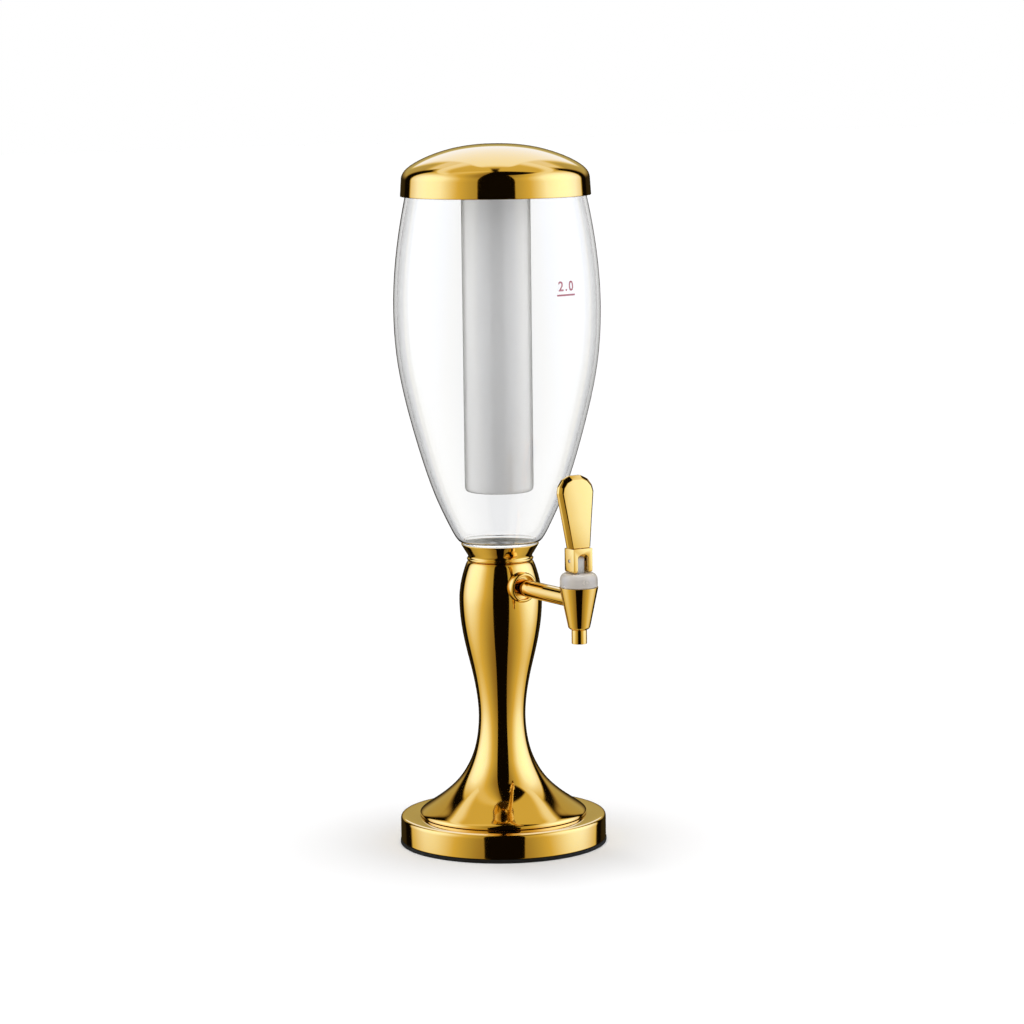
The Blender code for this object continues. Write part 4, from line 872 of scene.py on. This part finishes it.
# %% Rubber and mat
rubber = new_finish("black rubber", (0.012, 0.012, 0.012), 0.72, Specular_IOR_Level=0.25)
tinted(rubber, noise(rubber, 60, 4), (0.008, 0.008, 0.008), (0.018, 0.018, 0.018))
varied(rubber, "Roughness", noise(rubber, 300, 4), 0.6, 0.85)
raised(rubber, noise(rubber, 1800, 2), 0.00002)

grooves = []
for groove in (30, 40, 50, 60, 68):
    grooves += [(groove, 0), (groove + 0.4, 0.6), (groove + 1.6, 0.6), (groove + 2, 0)]
mat_outline = [
    (0, 0), *grooves, *rounded((76, 0), (77.9, 0), (77.9, 1.3), 0.6),
    *rounded((77.9, 1.3), (77.9, 2.6), (76, 2.6), 0.6), (0, 2.6),
]
turned("rubber_mat", mat_outline, rubber, "stand", ["anti_slip_mat"], 160)

# %% [markdown]
# ## Level mark
# A small printed mark on the tank shows how much is in it: a number over a line. The text is turned
# into a mesh, set in front of the tank, wrapped onto its surface and given the thickness of ink.

# %% Level mark
MARK_TURN, MARK_HEIGHT, MARK_START = math.radians(9.2), 423, 79
INK_GAP, INK_THICKNESS = 0.06, 0.04
ink = new_finish("faded red ink", (0.60, 0.22, 0.27), 0.5)
tinted(ink, noise(ink, 400, 3), (0.54, 0.18, 0.23), (0.68, 0.28, 0.32))
varied(ink, "Roughness", noise(ink, 200, 3), 0.4, 0.65)

bpy.ops.object.select_all(action="DESELECT")
bpy.ops.object.text_add()
mark = bpy.context.object
mark.name = mark.data.name = "level_mark"
mark.data.body = "2.0"
mark.data.size = 10 * MM
mark.data.offset = 0.2 * MM
mark.data.space_character = 1.3
mark.data.align_x, mark.data.align_y = "CENTER", "CENTER"
bpy.ops.object.convert(target="MESH")
bpy.ops.object.mode_set(mode="EDIT")
bpy.ops.mesh.select_all(action="DESELECT")
bpy.ops.mesh.primitive_plane_add(size=MM, location=(0, -6.2 * MM, 0))
bpy.ops.transform.resize(value=(18, 1.3, 1))
bpy.ops.mesh.subdivide(number_cuts=12)
bpy.ops.mesh.select_all(action="SELECT")
bpy.ops.mesh.remove_doubles(threshold=0.005 * MM)
bpy.ops.object.mode_set(mode="OBJECT")
mark.rotation_euler = (math.pi / 2, 0, MARK_TURN)
mark.location = (
    math.sin(MARK_TURN) * MARK_START * MM, -math.cos(MARK_TURN) * MARK_START * MM, MARK_HEIGHT * MM,
)
bpy.ops.object.transform_apply(location=True, rotation=True, scale=True)
wrapped = mark.modifiers.new("wrapped", "SHRINKWRAP")
wrapped.target, wrapped.wrap_mode, wrapped.offset = tank, "ABOVE_SURFACE", INK_GAP * MM
bpy.ops.object.modifier_apply(modifier=wrapped.name)
inked = mark.modifiers.new("ink", "SOLIDIFY")
inked.thickness = INK_THICKNESS * MM
bpy.ops.object.modifier_apply(modifier=inked.name)
bpy.ops.object.mode_set(mode="EDIT")
closed_and_handed_over(mark, ink, "stand")

# %% [markdown]
# ## Pieces inside
# The other pieces inside the tower keep the shape they have in the frame: screws, nuts, seals, the
# valve's stem, the elbow, the iron weight and the black cover. Only their finish changes. The cover
# is moulded black plastic with a fine grain. The weight is cast iron, rough and dark with paler
# spots. The screws, the pin and the stud are plain steel.

# %% Finishes inside
black = new_finish("black moulded plastic", (0.022, 0.022, 0.023), 0.42)
tinted(black, noise(black, 25, 3), (0.018, 0.018, 0.019), (0.030, 0.030, 0.031))
varied(black, "Roughness", noise(black, 160, 4), 0.34, 0.52)
raised(black, noise(black, 1600, 2), 0.000015)

iron = new_finish("cast iron", (0.10, 0.10, 0.105), 0.68, Metallic=0.7)
tinted(iron, noise(iron, 60, 5), (0.07, 0.068, 0.066), (0.15, 0.145, 0.14))
varied(iron, "Roughness", noise(iron, 210, 4), 0.55, 0.85)
raised(iron, noise(iron, 420, 5), 0.00012)

base_screws = [f"base_screw_{number}" for number in (1, 2, 3, 4)]
kept = (
    (black, ["base_plate"]),
    (iron, ["base_weight"]),
    (steel, [*base_screws, "shank_locknut", "lever_pin", "handle_stud"]),
    (white, ["tank_nut", "outlet_elbow", "valve_stem"]),
    (silicone, ["shank_saddle", "stem_seal", "seat_cup", "lid_seal", "ice_tube_seal"]),
)
for finish, nodes in kept:
    for node in nodes:
        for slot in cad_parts[node].material_slots:
            slot.material = finish
print("pieces inside:", sum(len(nodes) for finish, nodes in kept))
